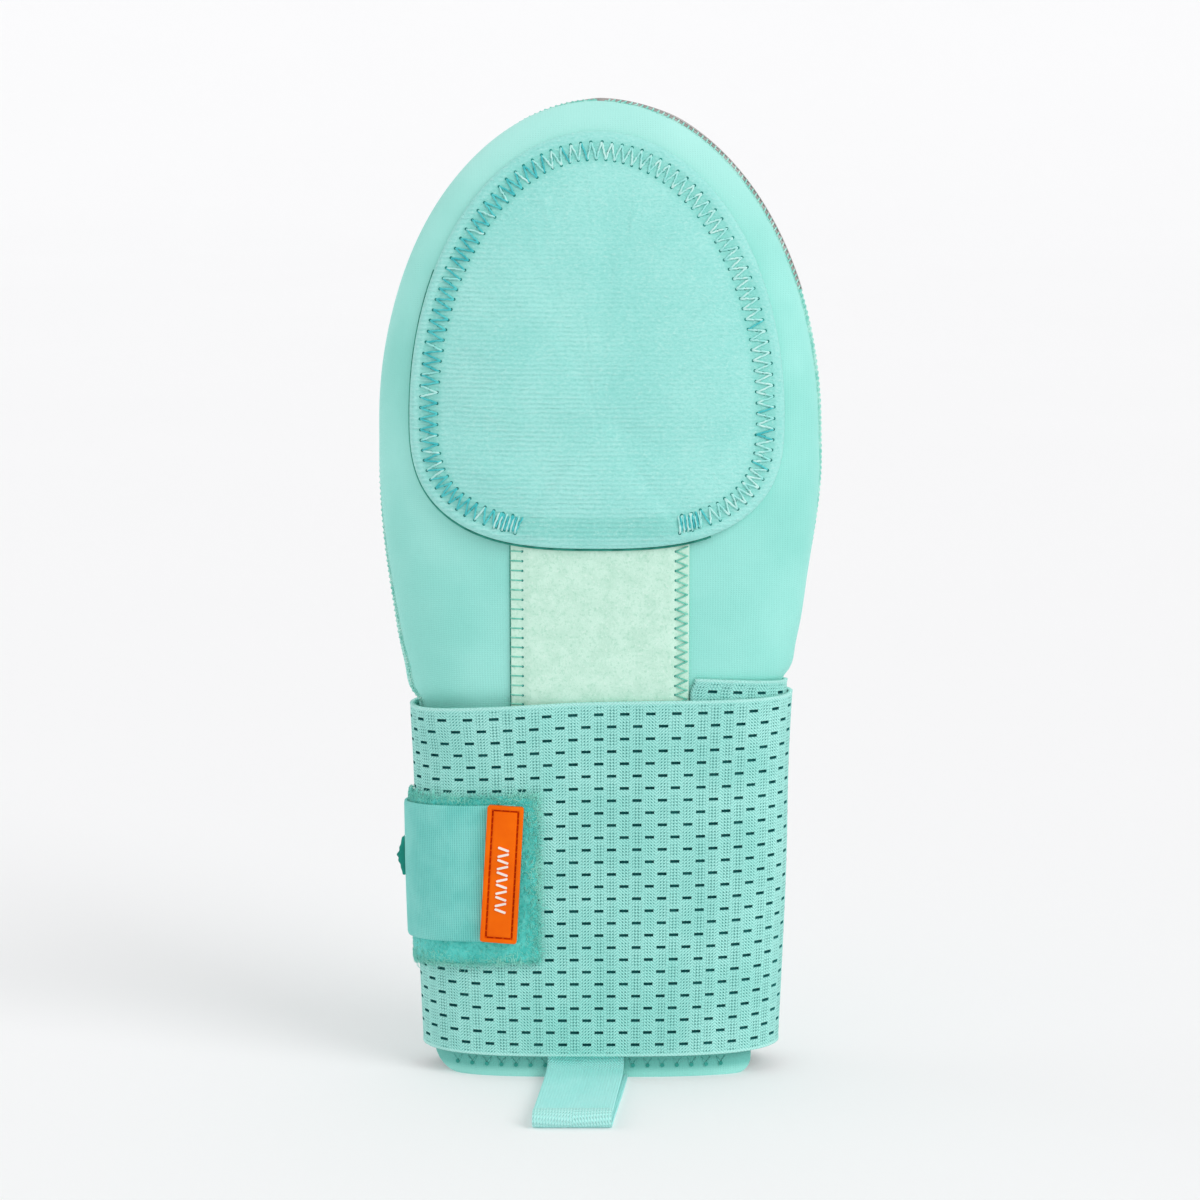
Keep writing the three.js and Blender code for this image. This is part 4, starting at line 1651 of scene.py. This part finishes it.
@dataclass
class SuedeStrip:
    """Mint suede strip between the pad and the elastic, stitched down both sides."""

    shop: Workshop
    width: float = 49.0
    thickness: float = 1.0
    bottom: float = 97.0
    top: float = 157.8
    margin: float = 3.2
    pitch: float = 2.7
    thread: float = 0.22

    def height_at(self, x: float) -> float:
        """Thickness across the strip: pressed down at its sewn sides, softly crowned between them."""
        away = self.width / 2 - abs(x)
        return self.thickness * (0.62 + 0.5 * smoothstep(away, self.margin - 0.6, self.margin + 2.4))

    def sheet(self) -> None:
        """Builds the strip."""
        body = self.shop.body
        half = self.width / 2
        columns = spread(-half, -half + 6, 14) + spread(-half + 6, half - 6, 24)[1:] + spread(half - 6, half, 14)[1:]
        sheet = Sheet(
            columns,
            spread(self.bottom, self.top, 60),
            lambda x, h: body.front(x, h, GAP + self.height_at(x)),
            lambda x, h: body.front(x, h, GAP),
            lambda x, h: (x, h),
        )
        bm, _ = sheet.build()
        round_rims(bm, 0.22)
        self.shop.piece("suede_strip", bm, [SUEDE], "mint_suede", ["centre_strip"])

    def stitches(self) -> None:
        """Sews the left side with ticks over its edge and the right side with a close zigzag, and lays a dark cord
        along the left edge as its painted shadow.
        """
        body = self.shop.body
        half = self.width / 2

        def at(x: float, height: float, up: float) -> Vector:
            """Point over the strip, or over the panel beside it."""
            inside = abs(x) <= half
            return body.front(x, height, (GAP + self.height_at(x) if inside else 0.1) + up)

        count = int((self.top - self.bottom - 8) / self.pitch)
        ticks: Runs = []
        zigzag: Runs = []
        holes: list[Spot] = []
        for i in range(count):
            height = self.bottom + 4 + self.pitch * i
            left_in, left_out = -half + self.margin, -half - 0.15
            ticks.append([at(left_out, height + 0.2, 0.1), at(left_out + 0.5, height + 0.1, 0.12),
                          at(left_in, height, -0.1)])
            right_out, right_in = half - 0.4, half - self.margin - 0.6
            for lean in (-1, 1):
                lift = self.pitch / 2 * lean
                zigzag.append([at(right_out, height + lift, -0.1), at(right_out - 0.8, height + lift * 0.8, 0.18),
                               at(right_in + 0.8, height + lift * 0.25, 0.2), at(right_in, height, -0.1)])
            for x in (left_in, right_in):
                holes.append((at(x, height, 0.04), body.outwards(x, height)))
        # A dark cord along the strip's left edge: painted shadow of the strip's thickness.
        edge = [[at(-half - 0.1, height, 0.12) for height in spread(self.bottom, self.top, 90)]]
        self.shop.threads("strip_shadow_line", edge, 0.26, SHADOW_CORD, "mint_suede")
        self.shop.threads("strip_ticks", ticks, self.thread, STRIP_THREAD, "mint_suede")
        self.shop.threads("strip_zigzag", zigzag, self.thread, STRIP_THREAD, "mint_suede")
        self.shop.dots("strip_needle_holes", holes, 0.36, NEEDLE_HOLE_SHADE, "mint_suede")

    def make(self) -> None:
        """Builds the strip and its stitches."""
        self.sheet()
        self.stitches()


@dataclass
class Cuff:
    """Everything wound round the cuff: the elastic, the loop tape, the hook strap and its seam fold."""

    shop: Workshop
    elastic_width: float = 100.6
    elastic_thickness: float = 1.2
    elastic_bottom: float = 6.6
    wrap_pitch: float = 1.6
    wrap_turns: float = 1.512
    taper_turns: float = 0.09
    strip_width: float = 49.0
    hole_pitch: float = 7.0
    hole_length: float = 2.6
    hole_height: float = 0.86
    hole_depth: float = 0.85
    hole_rows: int = 28
    selvage: float = 3.4
    edge_flare: float = 1.7
    loop_height: float = 47.5
    loop_thickness: float = 1.4
    loop_mid: float = 57.5
    loop_end_x: float = -17.2
    loop_drop: float = 3.9
    loop_back_turn: float = 0.685
    strap_height: float = 38.5
    strap_thickness: float = 1.0
    strap_mid: float = 59.3
    strap_drop: float = 4.5
    strap_back_turn: float = 0.6
    label_x: float = -26.3
    label_width: float = 9.3
    label_border: float = 1.1
    fold_height: float = 11.0
    fold_length: float = 11.0
    fold_rise: float = 2.4
    fold_edge: float = 0.9
    fold_turn: float = 0.74
    strands: int = 4200
    wrap: SmoothTable = field(default_factory=lambda: SmoothTable(WRAP_EDGES))

    @property
    def start(self) -> float:
        """Turn at which the elastic begins, beside the strip's right edge."""
        return self.shop.body.turn_of(self.strip_width / 2 + GAP, self.elastic_bottom + self.elastic_width)

    @property
    def end(self) -> float:
        """Turn at which the elastic's tapered end lies."""
        return self.start + self.wrap_turns

    def offset(self, turn: float) -> float:
        """How far the elastic's underside stands off the cuff."""
        return GAP + self.wrap_pitch * (turn - self.start)

    def loop_inner(self, turn: float) -> float:
        """Underside of the loop tape."""
        return self.offset(turn) + self.elastic_thickness + GAP

    def strap_inner(self, turn: float) -> float:
        """Underside of the hook strap."""
        return self.loop_inner(turn) + self.loop_thickness + GAP

    def strap_outer(self, turn: float) -> float:
        """Outer face of the hook strap."""
        return self.strap_inner(turn) + self.strap_thickness

    @property
    def loop_end(self) -> float:
        """Turn at which the loop tape ends at the front."""
        return 1 + self.shop.body.turn_of(self.loop_end_x, self.loop_mid)

    @property
    def label_turn(self) -> float:
        """Turn of the label's middle."""
        return 1 + self.shop.body.turn_of(self.label_x, self.strap_mid)

    def loop_middle(self, turn: float) -> float:
        """Middle height of the loop tape, which drops towards the left."""
        return self.loop_mid - self.loop_drop * (self.loop_end - turn) / (self.loop_end - self.loop_back_turn)

    def strap_middle(self, turn: float) -> float:
        """Middle height of the strap, which drops towards the back."""
        share = (self.label_turn - turn) / (self.label_turn - self.strap_back_turn)
        return self.strap_mid - self.strap_drop * share

    def edges(self, turn: float) -> tuple[float, float]:
        """Heights of the elastic's bottom and top edge at a turn.

        Args:
            turn: The turn.

        Returns:
            The two heights.
        """
        raised = self.wrap.at(turn - self.start)
        bottom = self.elastic_bottom + self.elastic_width * raised.bottom
        top = self.elastic_bottom + self.elastic_width * (1 + raised.top)
        taper = smoothstep(turn, self.end - self.taper_turns, self.end)
        middle = self.strap_middle(self.strap_back_turn)
        half = self.strap_height / 2 + GAP
        return bottom + (middle - half - bottom) * taper, top + (middle + half - top) * taper

    def stations(self) -> list[tuple[float, float, bool]]:
        """Turn, length walked and whether a hole's column starts, along the elastic.

        Returns:
            A row for every column of the elastic.
        """
        body = self.shop.body
        middle = self.elastic_bottom + self.elastic_width / 2
        turns = spread(self.start, self.end, 900)
        walked = walked_along([body.wrapped(middle, turn, self.offset(turn)) for turn in turns])
        length = walked[-1]

        def turn_at(distance: float) -> float:
            """Turn at a distance along the elastic."""
            i, share = place_among(walked, distance)
            return turns[i - 1] + (turns[i] - turns[i - 1]) * share

        cell = self.hole_pitch / 2
        made = [(self.start, 0.0, False)]
        at = self.hole_length * 0.4
        while at + cell < length:
            made.append((turn_at(at), at, True))
            made.append((turn_at(at + self.hole_length), at + self.hole_length, False))
            at += cell
        made.append((self.end, length, False))
        return made

    def elastic(self) -> None:
        """Builds the wound elastic with its sunk dash-shaped holes."""
        body = self.shop.body
        stations = self.stations()
        width = self.elastic_width
        step = (width - 2 * self.selvage) / (self.hole_rows - 1)
        rows = [0.0, 0.35, 1.2]
        lows = []
        for row in range(self.hole_rows):
            middle = self.selvage + step * row
            lows.append(len(rows))
            rows += [middle - self.hole_height / 2, middle + self.hole_height / 2]
        rows += [width - 1.2, width - 0.35, width]

        def at(turn: float, row: float, rise: float) -> Vector:
            """Point of the elastic."""
            bottom, top = self.edges(turn)
            height = bottom + (top - bottom) * row / width
            rim = min(row, width - row)
            bead = 0.1 * (1 - smoothstep(rim, 0.1, 0.8))
            flare = self.edge_flare * smoothstep(turn, 0.76, 0.84) * (1 - smoothstep(turn, 0.92, 0.985))
            flare *= smoothstep(row, width - 16, width)
            return body.wrapped(height, turn, self.offset(turn) + flare + rise * (1 + bead))

        columns = [turn for turn, _, _ in stations]
        weave = self.weave_of(columns, [length for _, length, _ in stations])
        sheet = Sheet(columns, rows, lambda t, r: at(t, r, self.elastic_thickness), lambda t, r: at(t, r, 0.0), weave)
        bm, outer = sheet.build()
        self.pierce(bm, outer, stations, rows, lows)
        self.shop.piece("elastic_mesh", bm, [ELASTIC, HOLE_SHADE], "elastic_mesh", ["elastic_band"])

    @staticmethod
    def weave_of(turns: Sequence[float], lengths: Sequence[float]) -> Weave:
        """Map of a wound band: the length along it and its row.

        Args:
            turns: The band's columns.
            lengths: Length at each.

        Returns:
            The map.
        """

        def weave(turn: float, row: float) -> tuple[float, float]:
            """Length along the band at a turn, and the row."""
            i, share = place_among(turns, turn)
            return lengths[i - 1] + (lengths[i] - lengths[i - 1]) * share, row

        return weave

    def pierce(self, bm: BMesh, outer: Sequence[BMFace],
               stations: Sequence[tuple[float, float, bool]], rows: Sequence[float], lows: Sequence[int]) -> None:
        """Sinks the holes in the elastic's outer face, every second cell, set off from row to row.

        Args:
            bm: The elastic.
            outer: Its outer faces.
            stations: Its columns.
            rows: Its rows.
            lows: Places of the rows at which holes start.
        """
        seat = bm.verts.layers.float_vector["seat"]
        low_of = {Sheet.single(rows[index]): number for number, index in enumerate(lows)}
        start_of = {}
        for number, (turn, _, starts) in enumerate(stations):
            if starts:
                start_of[Sheet.single(turn)] = (number - 1) // 2
        taper = self.end - self.taper_turns
        chosen = []
        for face in outer:
            turn = min(vertex[seat].x for vertex in face.verts)
            cell = start_of.get(turn)
            number = low_of.get(min(vertex[seat].y for vertex in face.verts))
            if cell is None or number is None or turn > taper:
                continue
            if (cell + number) % 2 == 0:
                chosen.append(face)
        bmesh.ops.inset_individual(bm, faces=chosen, thickness=0.03, depth=0.0, use_even_offset=True)
        sunk = bmesh.ops.extrude_discrete_faces(bm, faces=chosen)["faces"]
        for face in sunk:
            face.normal_update()
            way = face.normal.copy()
            bmesh.ops.translate(bm, vec=way * -self.hole_depth, verts=list(face.verts))
            # The sunk face and its walls take the dark hole finish: painted shade.
            face.material_index = 1
            for edge in face.edges:
                for wall in edge.link_faces:
                    wall.material_index = 1

    def band(self, name: str, turns: Sequence[float], rows: Sequence[float],
             at: Callable[[float, float, float], Vector], thick: Callable[[float, float], float],
             finish: Finish, slot: str, node: str, rim: float) -> None:
        """Builds a tape that lies on the elastic.

        Args:
            name: The piece's name.
            turns: Its columns.
            rows: Its rows, from -1 at the bottom to 1 at the top.
            at: Place of a turn, a row and a height above the tape's underside.
            thick: The tape's thickness at a turn and a row.
            finish: Its material.
            slot: The record's slot.
            node: The CAD node that it stands for.
            rim: How far its edges are rounded.
        """
        along = self.weave_of(turns, walked_along([at(turn, 0, 0) for turn in turns]))
        sheet = Sheet(
            turns,
            rows,
            lambda t, r: at(t, r, thick(t, r)),
            lambda t, r: at(t, r, 0.0),
            lambda t, r: (along(t, r)[0], r * self.strap_height / 2),
        )
        bm, _ = sheet.build()
        round_rims(bm, rim)
        self.shop.piece(name, bm, [finish], slot, [node])

    def loop_at(self, turn: float, row: float, up: float) -> Vector:
        """Place on the loop tape."""
        height = self.loop_middle(turn) + row * self.loop_height / 2
        return self.shop.body.wrapped(height, turn, self.loop_inner(turn) + up)

    def strap_at(self, turn: float, row: float, up: float) -> Vector:
        """Place on the hook strap."""
        height = self.strap_middle(turn) + row * self.strap_height / 2
        return self.shop.body.wrapped(height, turn, self.strap_inner(turn) + up)

    def loop_tape(self) -> None:
        """Builds the loop tape, and the pile of small loops round its edges."""
        turns = spread(self.loop_back_turn, self.loop_end, 90)
        rows = spread(-1, 1, 60)
        chance = random.Random(3)

        def thick(turn: float, row: float) -> float:
            """Thickness of the tape, rough and thin at its edges."""
            rough = noise.noise(Vector((turn * 260, row * 22, 0.0)))
            edge = smoothstep(1 - abs(row), 0, 0.05)
            return self.loop_thickness * (0.55 + 0.35 * edge) + 0.22 * rough

        self.band("loop_tape", turns, rows, self.loop_at, thick, PILE, "loop_tape", "loop_patch", 0.25)
        runs = []
        for _ in range(self.strands):
            turn = chance.uniform(self.loop_back_turn, self.loop_end)
            row = chance.choice((-1, 1)) * (1 - abs(chance.gauss(0, 0.09)))
            out_turn, out_row = chance.gauss(0, 0.0024), math.copysign(abs(chance.gauss(0, 0.035)), row)
            if chance.random() < 0.36:
                turn = self.loop_end - abs(chance.gauss(0, 0.006))
                row = chance.uniform(-1, 1)
                out_turn, out_row = abs(chance.gauss(0, 0.0026)), chance.gauss(0, 0.03)
            low = self.loop_thickness * 0.6
            tall = low + chance.uniform(0.2, 0.8)
            runs.append([
                self.loop_at(turn, row, low),
                self.loop_at(turn + out_turn * 0.4, row + out_row * 0.3, tall),
                self.loop_at(turn + out_turn, row + out_row, tall - chance.uniform(0.1, 0.4)),
                self.loop_at(turn + out_turn * 1.4, row + out_row * 1.2, low - 0.3),
            ])
        self.shop.threads("loop_fuzz", runs, 0.075, FUZZ, "loop_tape", 0)

    def strap(self) -> None:
        """Builds the hook strap."""
        body = self.shop.body
        end = 1 + body.turn_of(self.label_x + self.label_width / 2 - self.label_border, self.strap_mid)
        turns = spread(self.strap_back_turn, end, 110)

        def thick(turn: float, row: float) -> float:
            """Thickness of the strap, thin at its edges."""
            edge = smoothstep(1 - abs(row), 0, 0.04)
            return self.strap_thickness * (0.8 + 0.2 * edge)

        self.band("hook_tape", turns, spread(-1, 1, 40), self.strap_at, thick, HOOK, "hook_tape", "hook_strap", 0.2)

    def fold(self) -> None:
        """Builds the folded seam end behind the strap."""
        body = self.shop.body
        girth = TURN * body.cut(self.strap_mid).back
        turns = spread(self.fold_turn - self.fold_length / girth, self.fold_turn, 26)

        def at(turn: float, row: float, up: float) -> Vector:
            """Point over the strap."""
            height = self.strap_mid + row * self.fold_height / 2
            return body.wrapped(height, turn, self.strap_outer(turn) + GAP + up)

        def thick(turn: float, row: float) -> float:
            """Thickness of the fold, highest along its middle."""
            peak = (1 - abs(row)) ** 1.3
            crease = 0.25 * math.sin(row * 17) * peak
            return self.fold_edge + (self.fold_rise - self.fold_edge) * peak + crease

        rows = spread(-1, 1, 36)
        self.band("seam_fold", turns, rows, at, thick, FOLD, "fold_tape", "strap_seam_fold", 0.3)

    def make(self) -> None:
        """Builds the elastic and the tapes on it."""
        self.elastic()
        self.loop_tape()
        self.strap()
        self.fold()


@dataclass
class Label:
    """Moulded rubber label at the strap's end, with a border, a groove and plain raised grip bars."""

    shop: Workshop
    cuff: Cuff
    width: float = 9.3
    height: float = 38.8
    thickness: float = 1.6
    border: float = 1.1
    groove: float = 0.5
    groove_depth: float = 0.7
    field_depth: float = 0.3
    corner: float = 0.7
    x: float = -26.3
    lean: float = 3.0
    bars: int = 11
    bar_pitch: float = 1.75

    def at(self, place: Vector) -> Vector:
        """Lays a point of the flat label, its height above the underside in z, on the strap.

        Args:
            place: The point.

        Returns:
            Its place on the strap.
        """
        lean = math.radians(self.lean)
        x = self.x + place.x * math.cos(lean) + place.y * math.sin(lean)
        middle = self.cuff.strap_middle(self.cuff.label_turn)
        height = middle - place.x * math.sin(lean) + place.y * math.cos(lean)
        body = self.shop.body
        turn = 1 + body.turn_of(x, height)
        return body.wrapped(height, turn, self.cuff.strap_outer(turn) + GAP + place.z)

    def lay(self, bm: BMesh) -> None:
        """Cuts a flat shape fine enough to bend and lays it on the strap.

        Args:
            bm: The shape.
        """
        for step in spread(-self.height / 2, self.height / 2, 14)[1:-1]:
            bmesh.ops.bisect_plane(bm, geom=bm.verts[:] + bm.edges[:] + bm.faces[:], plane_co=(0, step, 0),
                                   plane_no=(0, 1, 0))
        for step in spread(-self.width / 2, self.width / 2, 6)[1:-1]:
            bmesh.ops.bisect_plane(bm, geom=bm.verts[:] + bm.edges[:] + bm.faces[:], plane_co=(step, 0, 0),
                                   plane_no=(1, 0, 0))
        for vertex in bm.verts:
            vertex.co = self.at(vertex.co)
        face_outwards(bm)

    @staticmethod
    def plate(bm: BMesh, width: float, height: float, corner: float, low: float, high: float,
              tilt: float = 0.0, middle: tuple[float, float] = (0.0, 0.0)) -> BMFace:
        """Adds a flat plate with rounded corners.

        Args:
            bm: The bmesh it goes into.
            width: Its size across.
            height: Its size upwards.
            corner: Radius of its corners.
            low: Height of its underside.
            high: Height of its top.
            tilt: Its turn in degrees.
            middle: Its middle.

        Returns:
            The plate's top face.
        """
        turn = Matrix.Translation((*middle, low)) @ Matrix.Rotation(math.radians(tilt), 4, "Z")
        size = turn @ Matrix.Diagonal((width / 2, height / 2, 1, 1))
        made = bmesh.ops.create_grid(bm, x_segments=1, y_segments=1, size=1.0, matrix=size)["verts"]
        rounded = bmesh.ops.bevel(bm, geom=made, offset=corner, offset_type="OFFSET", segments=5, profile=0.5,
                                  affect="VERTICES", material=-1)
        face = max({f for v in rounded["verts"] for f in v.link_faces}, key=lambda f: f.calc_area())
        grown = bmesh.ops.extrude_face_region(bm, geom=[face])["geom"]
        raised = [item for item in grown if isinstance(item, BMVert)]
        bmesh.ops.translate(bm, vec=(0, 0, high - low), verts=raised)
        return next(item for item in grown if isinstance(item, BMFace))

    def ring(self, bm: BMesh, inset: float, level: float) -> list[BMEdge]:
        """Adds a closed rounded rectangle of the label's outline.

        Args:
            bm: The bmesh it goes into.
            inset: How far it lies inside the label's own outline.
            level: Its height.

        Returns:
            Its edges.
        """
        corners, arc = 4, 7
        made = bmesh.ops.create_circle(bm, cap_ends=False, radius=1.0, segments=corners * arc)["verts"]
        radius = max(self.corner - inset, 0.1)
        half_x, half_y = self.width / 2 - inset - radius, self.height / 2 - inset - radius
        for i, vertex in enumerate(made):
            quarter, step = divmod(i, arc)
            angle = math.pi / 2 * (quarter + step / (arc - 1))
            middle_x = half_x if quarter in (0, 3) else -half_x
            middle_y = half_y if quarter in (0, 1) else -half_y
            x, y = middle_x + radius * math.cos(angle), middle_y + radius * math.sin(angle)
            vertex.co = (x, y, level)
        return list({edge for vertex in made for edge in vertex.link_edges})

    def plate_piece(self) -> None:
        """Builds the label's body with its border, groove and field."""
        bm = bmesh.new()
        top, field_level = self.thickness, self.thickness - self.field_depth
        groove_in = self.border + self.groove
        outline = (
            (0.35, 0.0), (0.0, 0.0), (0.0, top - 0.2), (0.06, top - 0.06), (0.2, top), (self.border - 0.12, top),
            (self.border, top - 0.12), (self.border + 0.04, top - self.groove_depth),
            (groove_in - 0.04, top - self.groove_depth), (groove_in, field_level - 0.08),
            (groove_in + 0.1, field_level), (groove_in + 0.6, field_level),
        )
        rings = [self.ring(bm, inset, level) for inset, level in outline]
        for first, second in zip(rings, rings[1:]):
            bmesh.ops.bridge_loops(bm, edges=first + second)
        bmesh.ops.contextual_create(bm, geom=rings[0])
        bmesh.ops.contextual_create(bm, geom=rings[-1])
        self.lay(bm)
        self.shop.piece("label_plate", bm, [RUBBER], "orange_rubber", ["rubber_label"])

    def dashes(self) -> None:
        """Lays the darker dashes that run round in the groove."""
        half_x = self.width / 2 - self.border - self.groove / 2
        half_y = self.height / 2 - self.border - self.groove / 2
        corners = [(-half_x, -half_y), (half_x, -half_y), (half_x, half_y), (-half_x, half_y)]
        level = self.thickness - self.groove_depth + 0.1
        runs = []
        for (x0, y0), (x1, y1) in zip(corners, corners[1:] + corners[:1]):
            length = math.hypot(x1 - x0, y1 - y0)
            count = round(length / 1.9)
            for i in range(count):
                marks = spread((i + 0.14) / count, (i + 0.86) / count, 3)
                runs.append([self.at(Vector((x0 + (x1 - x0) * t, y0 + (y1 - y0) * t, level))) for t in marks])
        self.shop.threads("label_groove_dashes", runs, 0.2, GROOVE, "orange_rubber")

    def grips(self) -> None:
        """Raises the white bars in the label's field, slanting by turns, as plain grip ribs."""
        bm = bmesh.new()
        level = self.thickness - self.field_depth
        for i in range(self.bars):
            place = (0.0, (i - (self.bars - 1) / 2) * self.bar_pitch - 1.5)
            tilt = 18 if i % 2 else -18
            self.plate(bm, 3.0, 0.62, 0.28, level - 0.1, level + 0.3, tilt, place)
        self.lay(bm)
        self.shop.piece("label_grip_bars", bm, [GRIP], "orange_rubber", smooth=False)

    def make(self) -> None:
        """Builds the label."""
        self.plate_piece()
        self.dashes()
        self.grips()


@dataclass
class PullTab:
    """Webbing loop that drops in front of the hem and lies forward on the floor."""

    shop: Workshop
    width: float = 21.4
    thickness: float = 1.0
    reach: float = 55.0
    fold_height: float = 4.4
    tuck: float = 9.0
    centre_x: float = -4.0
    skew: float = -3.6
    layer_shift: float = 1.1
    elastic_bottom: float = 6.6
    steps: int = 190

    ROUTE = (
        (0.01, 1.09), (0.055, 0.82), (0.166, 0.7), (0.5, 0.79), (0.85, 0.94), (0.96, 1.0),
        (0.99, 0.5), (0.96, 0.0), (0.85, 0.0), (0.5, 0.0), (0.08, 0.0), (0.0, 0.0),
    )

    def route(self) -> list[Vector]:
        """The tab's middle line, finely stepped: forward in y, upward in z.

        Returns:
            The line's points.
        """
        wall = -self.shop.body.cut(0).front
        half = self.thickness / 2
        start = wall - GAP - half
        length = self.reach - GAP - half
        points = [(start, self.elastic_bottom + self.tuck), (start, self.elastic_bottom + self.thickness)]
        points += [(start - a * length, half + r * (self.fold_height - self.thickness)) for a, r in self.ROUTE]
        curve = bpy.data.curves.new("tab_route", "CURVE")
        curve.dimensions = "3D"
        spline = curve.splines.new("BEZIER")
        spline.bezier_points.add(len(points) - 1)
        spline.resolution_u = 24
        for knot, (y, z) in zip(spline.bezier_points, points):
            knot.co = (0, y, z)
            knot.handle_left_type = knot.handle_right_type = "AUTO"
        mesh = mesh_of(curve)
        dense = [vertex.co.copy() for vertex in mesh.vertices]
        bpy.data.meshes.remove(mesh)
        for point in dense:
            point.z = max(point.z, half)
        return dense

    def make(self) -> None:
        """Builds the webbing along its route."""
        line = self.route()
        walked = walked_along(line)
        length = walked[-1]
        start_y = line[0].y
        end_y = min(point.y for point in line)

        def at(across: float, distance: float, up: float) -> Vector:
            """Point across, along and above the webbing's middle."""
            i, share = place_among(walked, distance)
            spot = line[i - 1].lerp(line[i], share)
            before, after = line[max(i - 2, 0)], line[min(i + 1, len(line) - 1)]
            along = (after - before).normalized()
            forward = (start_y - spot.y) / (start_y - end_y)
            layer = smoothstep(distance / length, 0.5, 1) * self.layer_shift
            x = self.centre_x + across + self.skew * forward + layer
            return Vector((x, spot.y - along.z * up, max(0.0, spot.z + along.y * up)))

        half = self.thickness / 2
        edge = self.width / 2

        def lip(across: float) -> float:
            """Half the webbing's thickness, less at its edges."""
            return half * (0.86 + 0.14 * smoothstep(edge - abs(across), 0, 1.2))

        sheet = Sheet(
            spread(-edge, edge, 34),
            spread(0, length, self.steps),
            lambda x, d: at(x, d, -lip(x)),
            lambda x, d: at(x, d, lip(x)),
            lambda x, d: (d, x),
        )
        bm, _ = sheet.build()
        round_rims(bm, 0.2)
        self.shop.piece("tab_webbing", bm, [WEBBING], "webbing", ["pull_tab"])


@dataclass
class Studio:
    """Pale floor, soft lights and the camera at the photograph's angle. Metres."""

    middle: Vector
    distance: float = 1.2
    elevation: float = 8.5
    frame_width: float = 0.336
    sensor: float = 36.0

    def floor(self) -> None:
        """Lays a seamless floor that sweeps up far behind the mitt."""
        bm = bmesh.new()
        bmesh.ops.create_grid(bm, x_segments=2, y_segments=2, size=6.0)
        back = [edge for edge in bm.edges if all(vertex.co.y > 5.9 for vertex in edge.verts)]
        grown = bmesh.ops.extrude_edge_only(bm, edges=back)["geom"]
        raised = [item for item in grown if isinstance(item, BMVert)]
        bmesh.ops.translate(bm, vec=(0, 0, 6), verts=raised)
        bend = [edge for edge in bm.edges if all(abs(v.co.y - 6) < 0.01 and v.co.z < 0.01 for v in edge.verts)]
        bmesh.ops.bevel(bm, geom=bend, offset=2.5, offset_type="OFFSET", segments=24, profile=0.5, affect="EDGES",
                        material=-1)
        bmesh.ops.recalc_face_normals(bm, faces=bm.faces)
        for face in bm.faces:
            face.smooth = True
        mesh = bpy.data.meshes.new("studio_floor")
        bm.to_mesh(mesh)
        bm.free()
        mesh.materials.append(FLOOR.make())
        floor = stood("studio_floor", mesh)

    def lamp(self, name: str, place: tuple[float, float, float], spread_angle: float, power: float) -> None:
        """Lights the mitt softly from the side of a place, evenly over the whole floor.

        Args:
            name: The lamp's name.
            place: The place.
            spread_angle: Its softness in degrees.
            power: Its strength.
        """
        light = bpy.data.lights.new(name, "SUN")
        light.angle = math.radians(spread_angle)
        light.energy = power
        holder = stood(name, light)
        holder.location = place
        holder.rotation_euler = (self.middle - Vector(place)).to_track_quat("-Z", "Y").to_euler()

    def lights(self) -> None:
        """Hangs the lamps and sets the room's own light."""
        self.lamp("key_right", (1.2, -1.0, 1.3), 34, 1.15)
        self.lamp("fill_left", (-1.3, 0.3, 0.8), 40, 0.3)
        world = bpy.data.worlds.new("studio")
        world.use_nodes = True
        ground = world.node_tree.nodes["Background"]
        ground.inputs["Color"].default_value = (1.0, 1.0, 1.0, 1.0)
        ground.inputs["Strength"].default_value = 0.72
        bpy.context.scene.world = world
        bpy.context.scene.view_settings.view_transform = "Standard"

    def camera(self) -> None:
        """Sets the camera."""
        lens = bpy.data.cameras.new("camera")
        lens.sensor_width = self.sensor
        lens.lens = self.sensor * self.distance / self.frame_width
        lens.dof.use_dof = False
        holder = stood("camera", lens)
        angle = math.radians(self.elevation)
        away = Vector((0, -math.cos(angle), math.sin(angle)))
        holder.location = self.middle + away * self.distance
        holder.rotation_euler = (-away).to_track_quat("-Z", "Y").to_euler()
        bpy.context.scene.camera = holder

    def make(self) -> None:
        """Builds the studio."""
        self.camera()
        self.floor()
        self.lights()


def main() -> None:
    """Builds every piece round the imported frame, in order."""
    logging.basicConfig(level=logging.INFO, format="%(relativeCreated)d %(name)s %(message)s")
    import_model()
    body = Body()
    shop = Workshop(body)
    Studio(shop.to_frame @ Vector((0, 0, VIEW_HEIGHT))).make()
    cuff = Cuff(shop)
    for part in (Shell(shop), Pad(shop), SuedeStrip(shop), cuff, Label(shop, cuff), PullTab(shop)):
        part.make()
        LOG.info("%s is built", type(part).__name__)


if __name__ == "__main__":
    main()
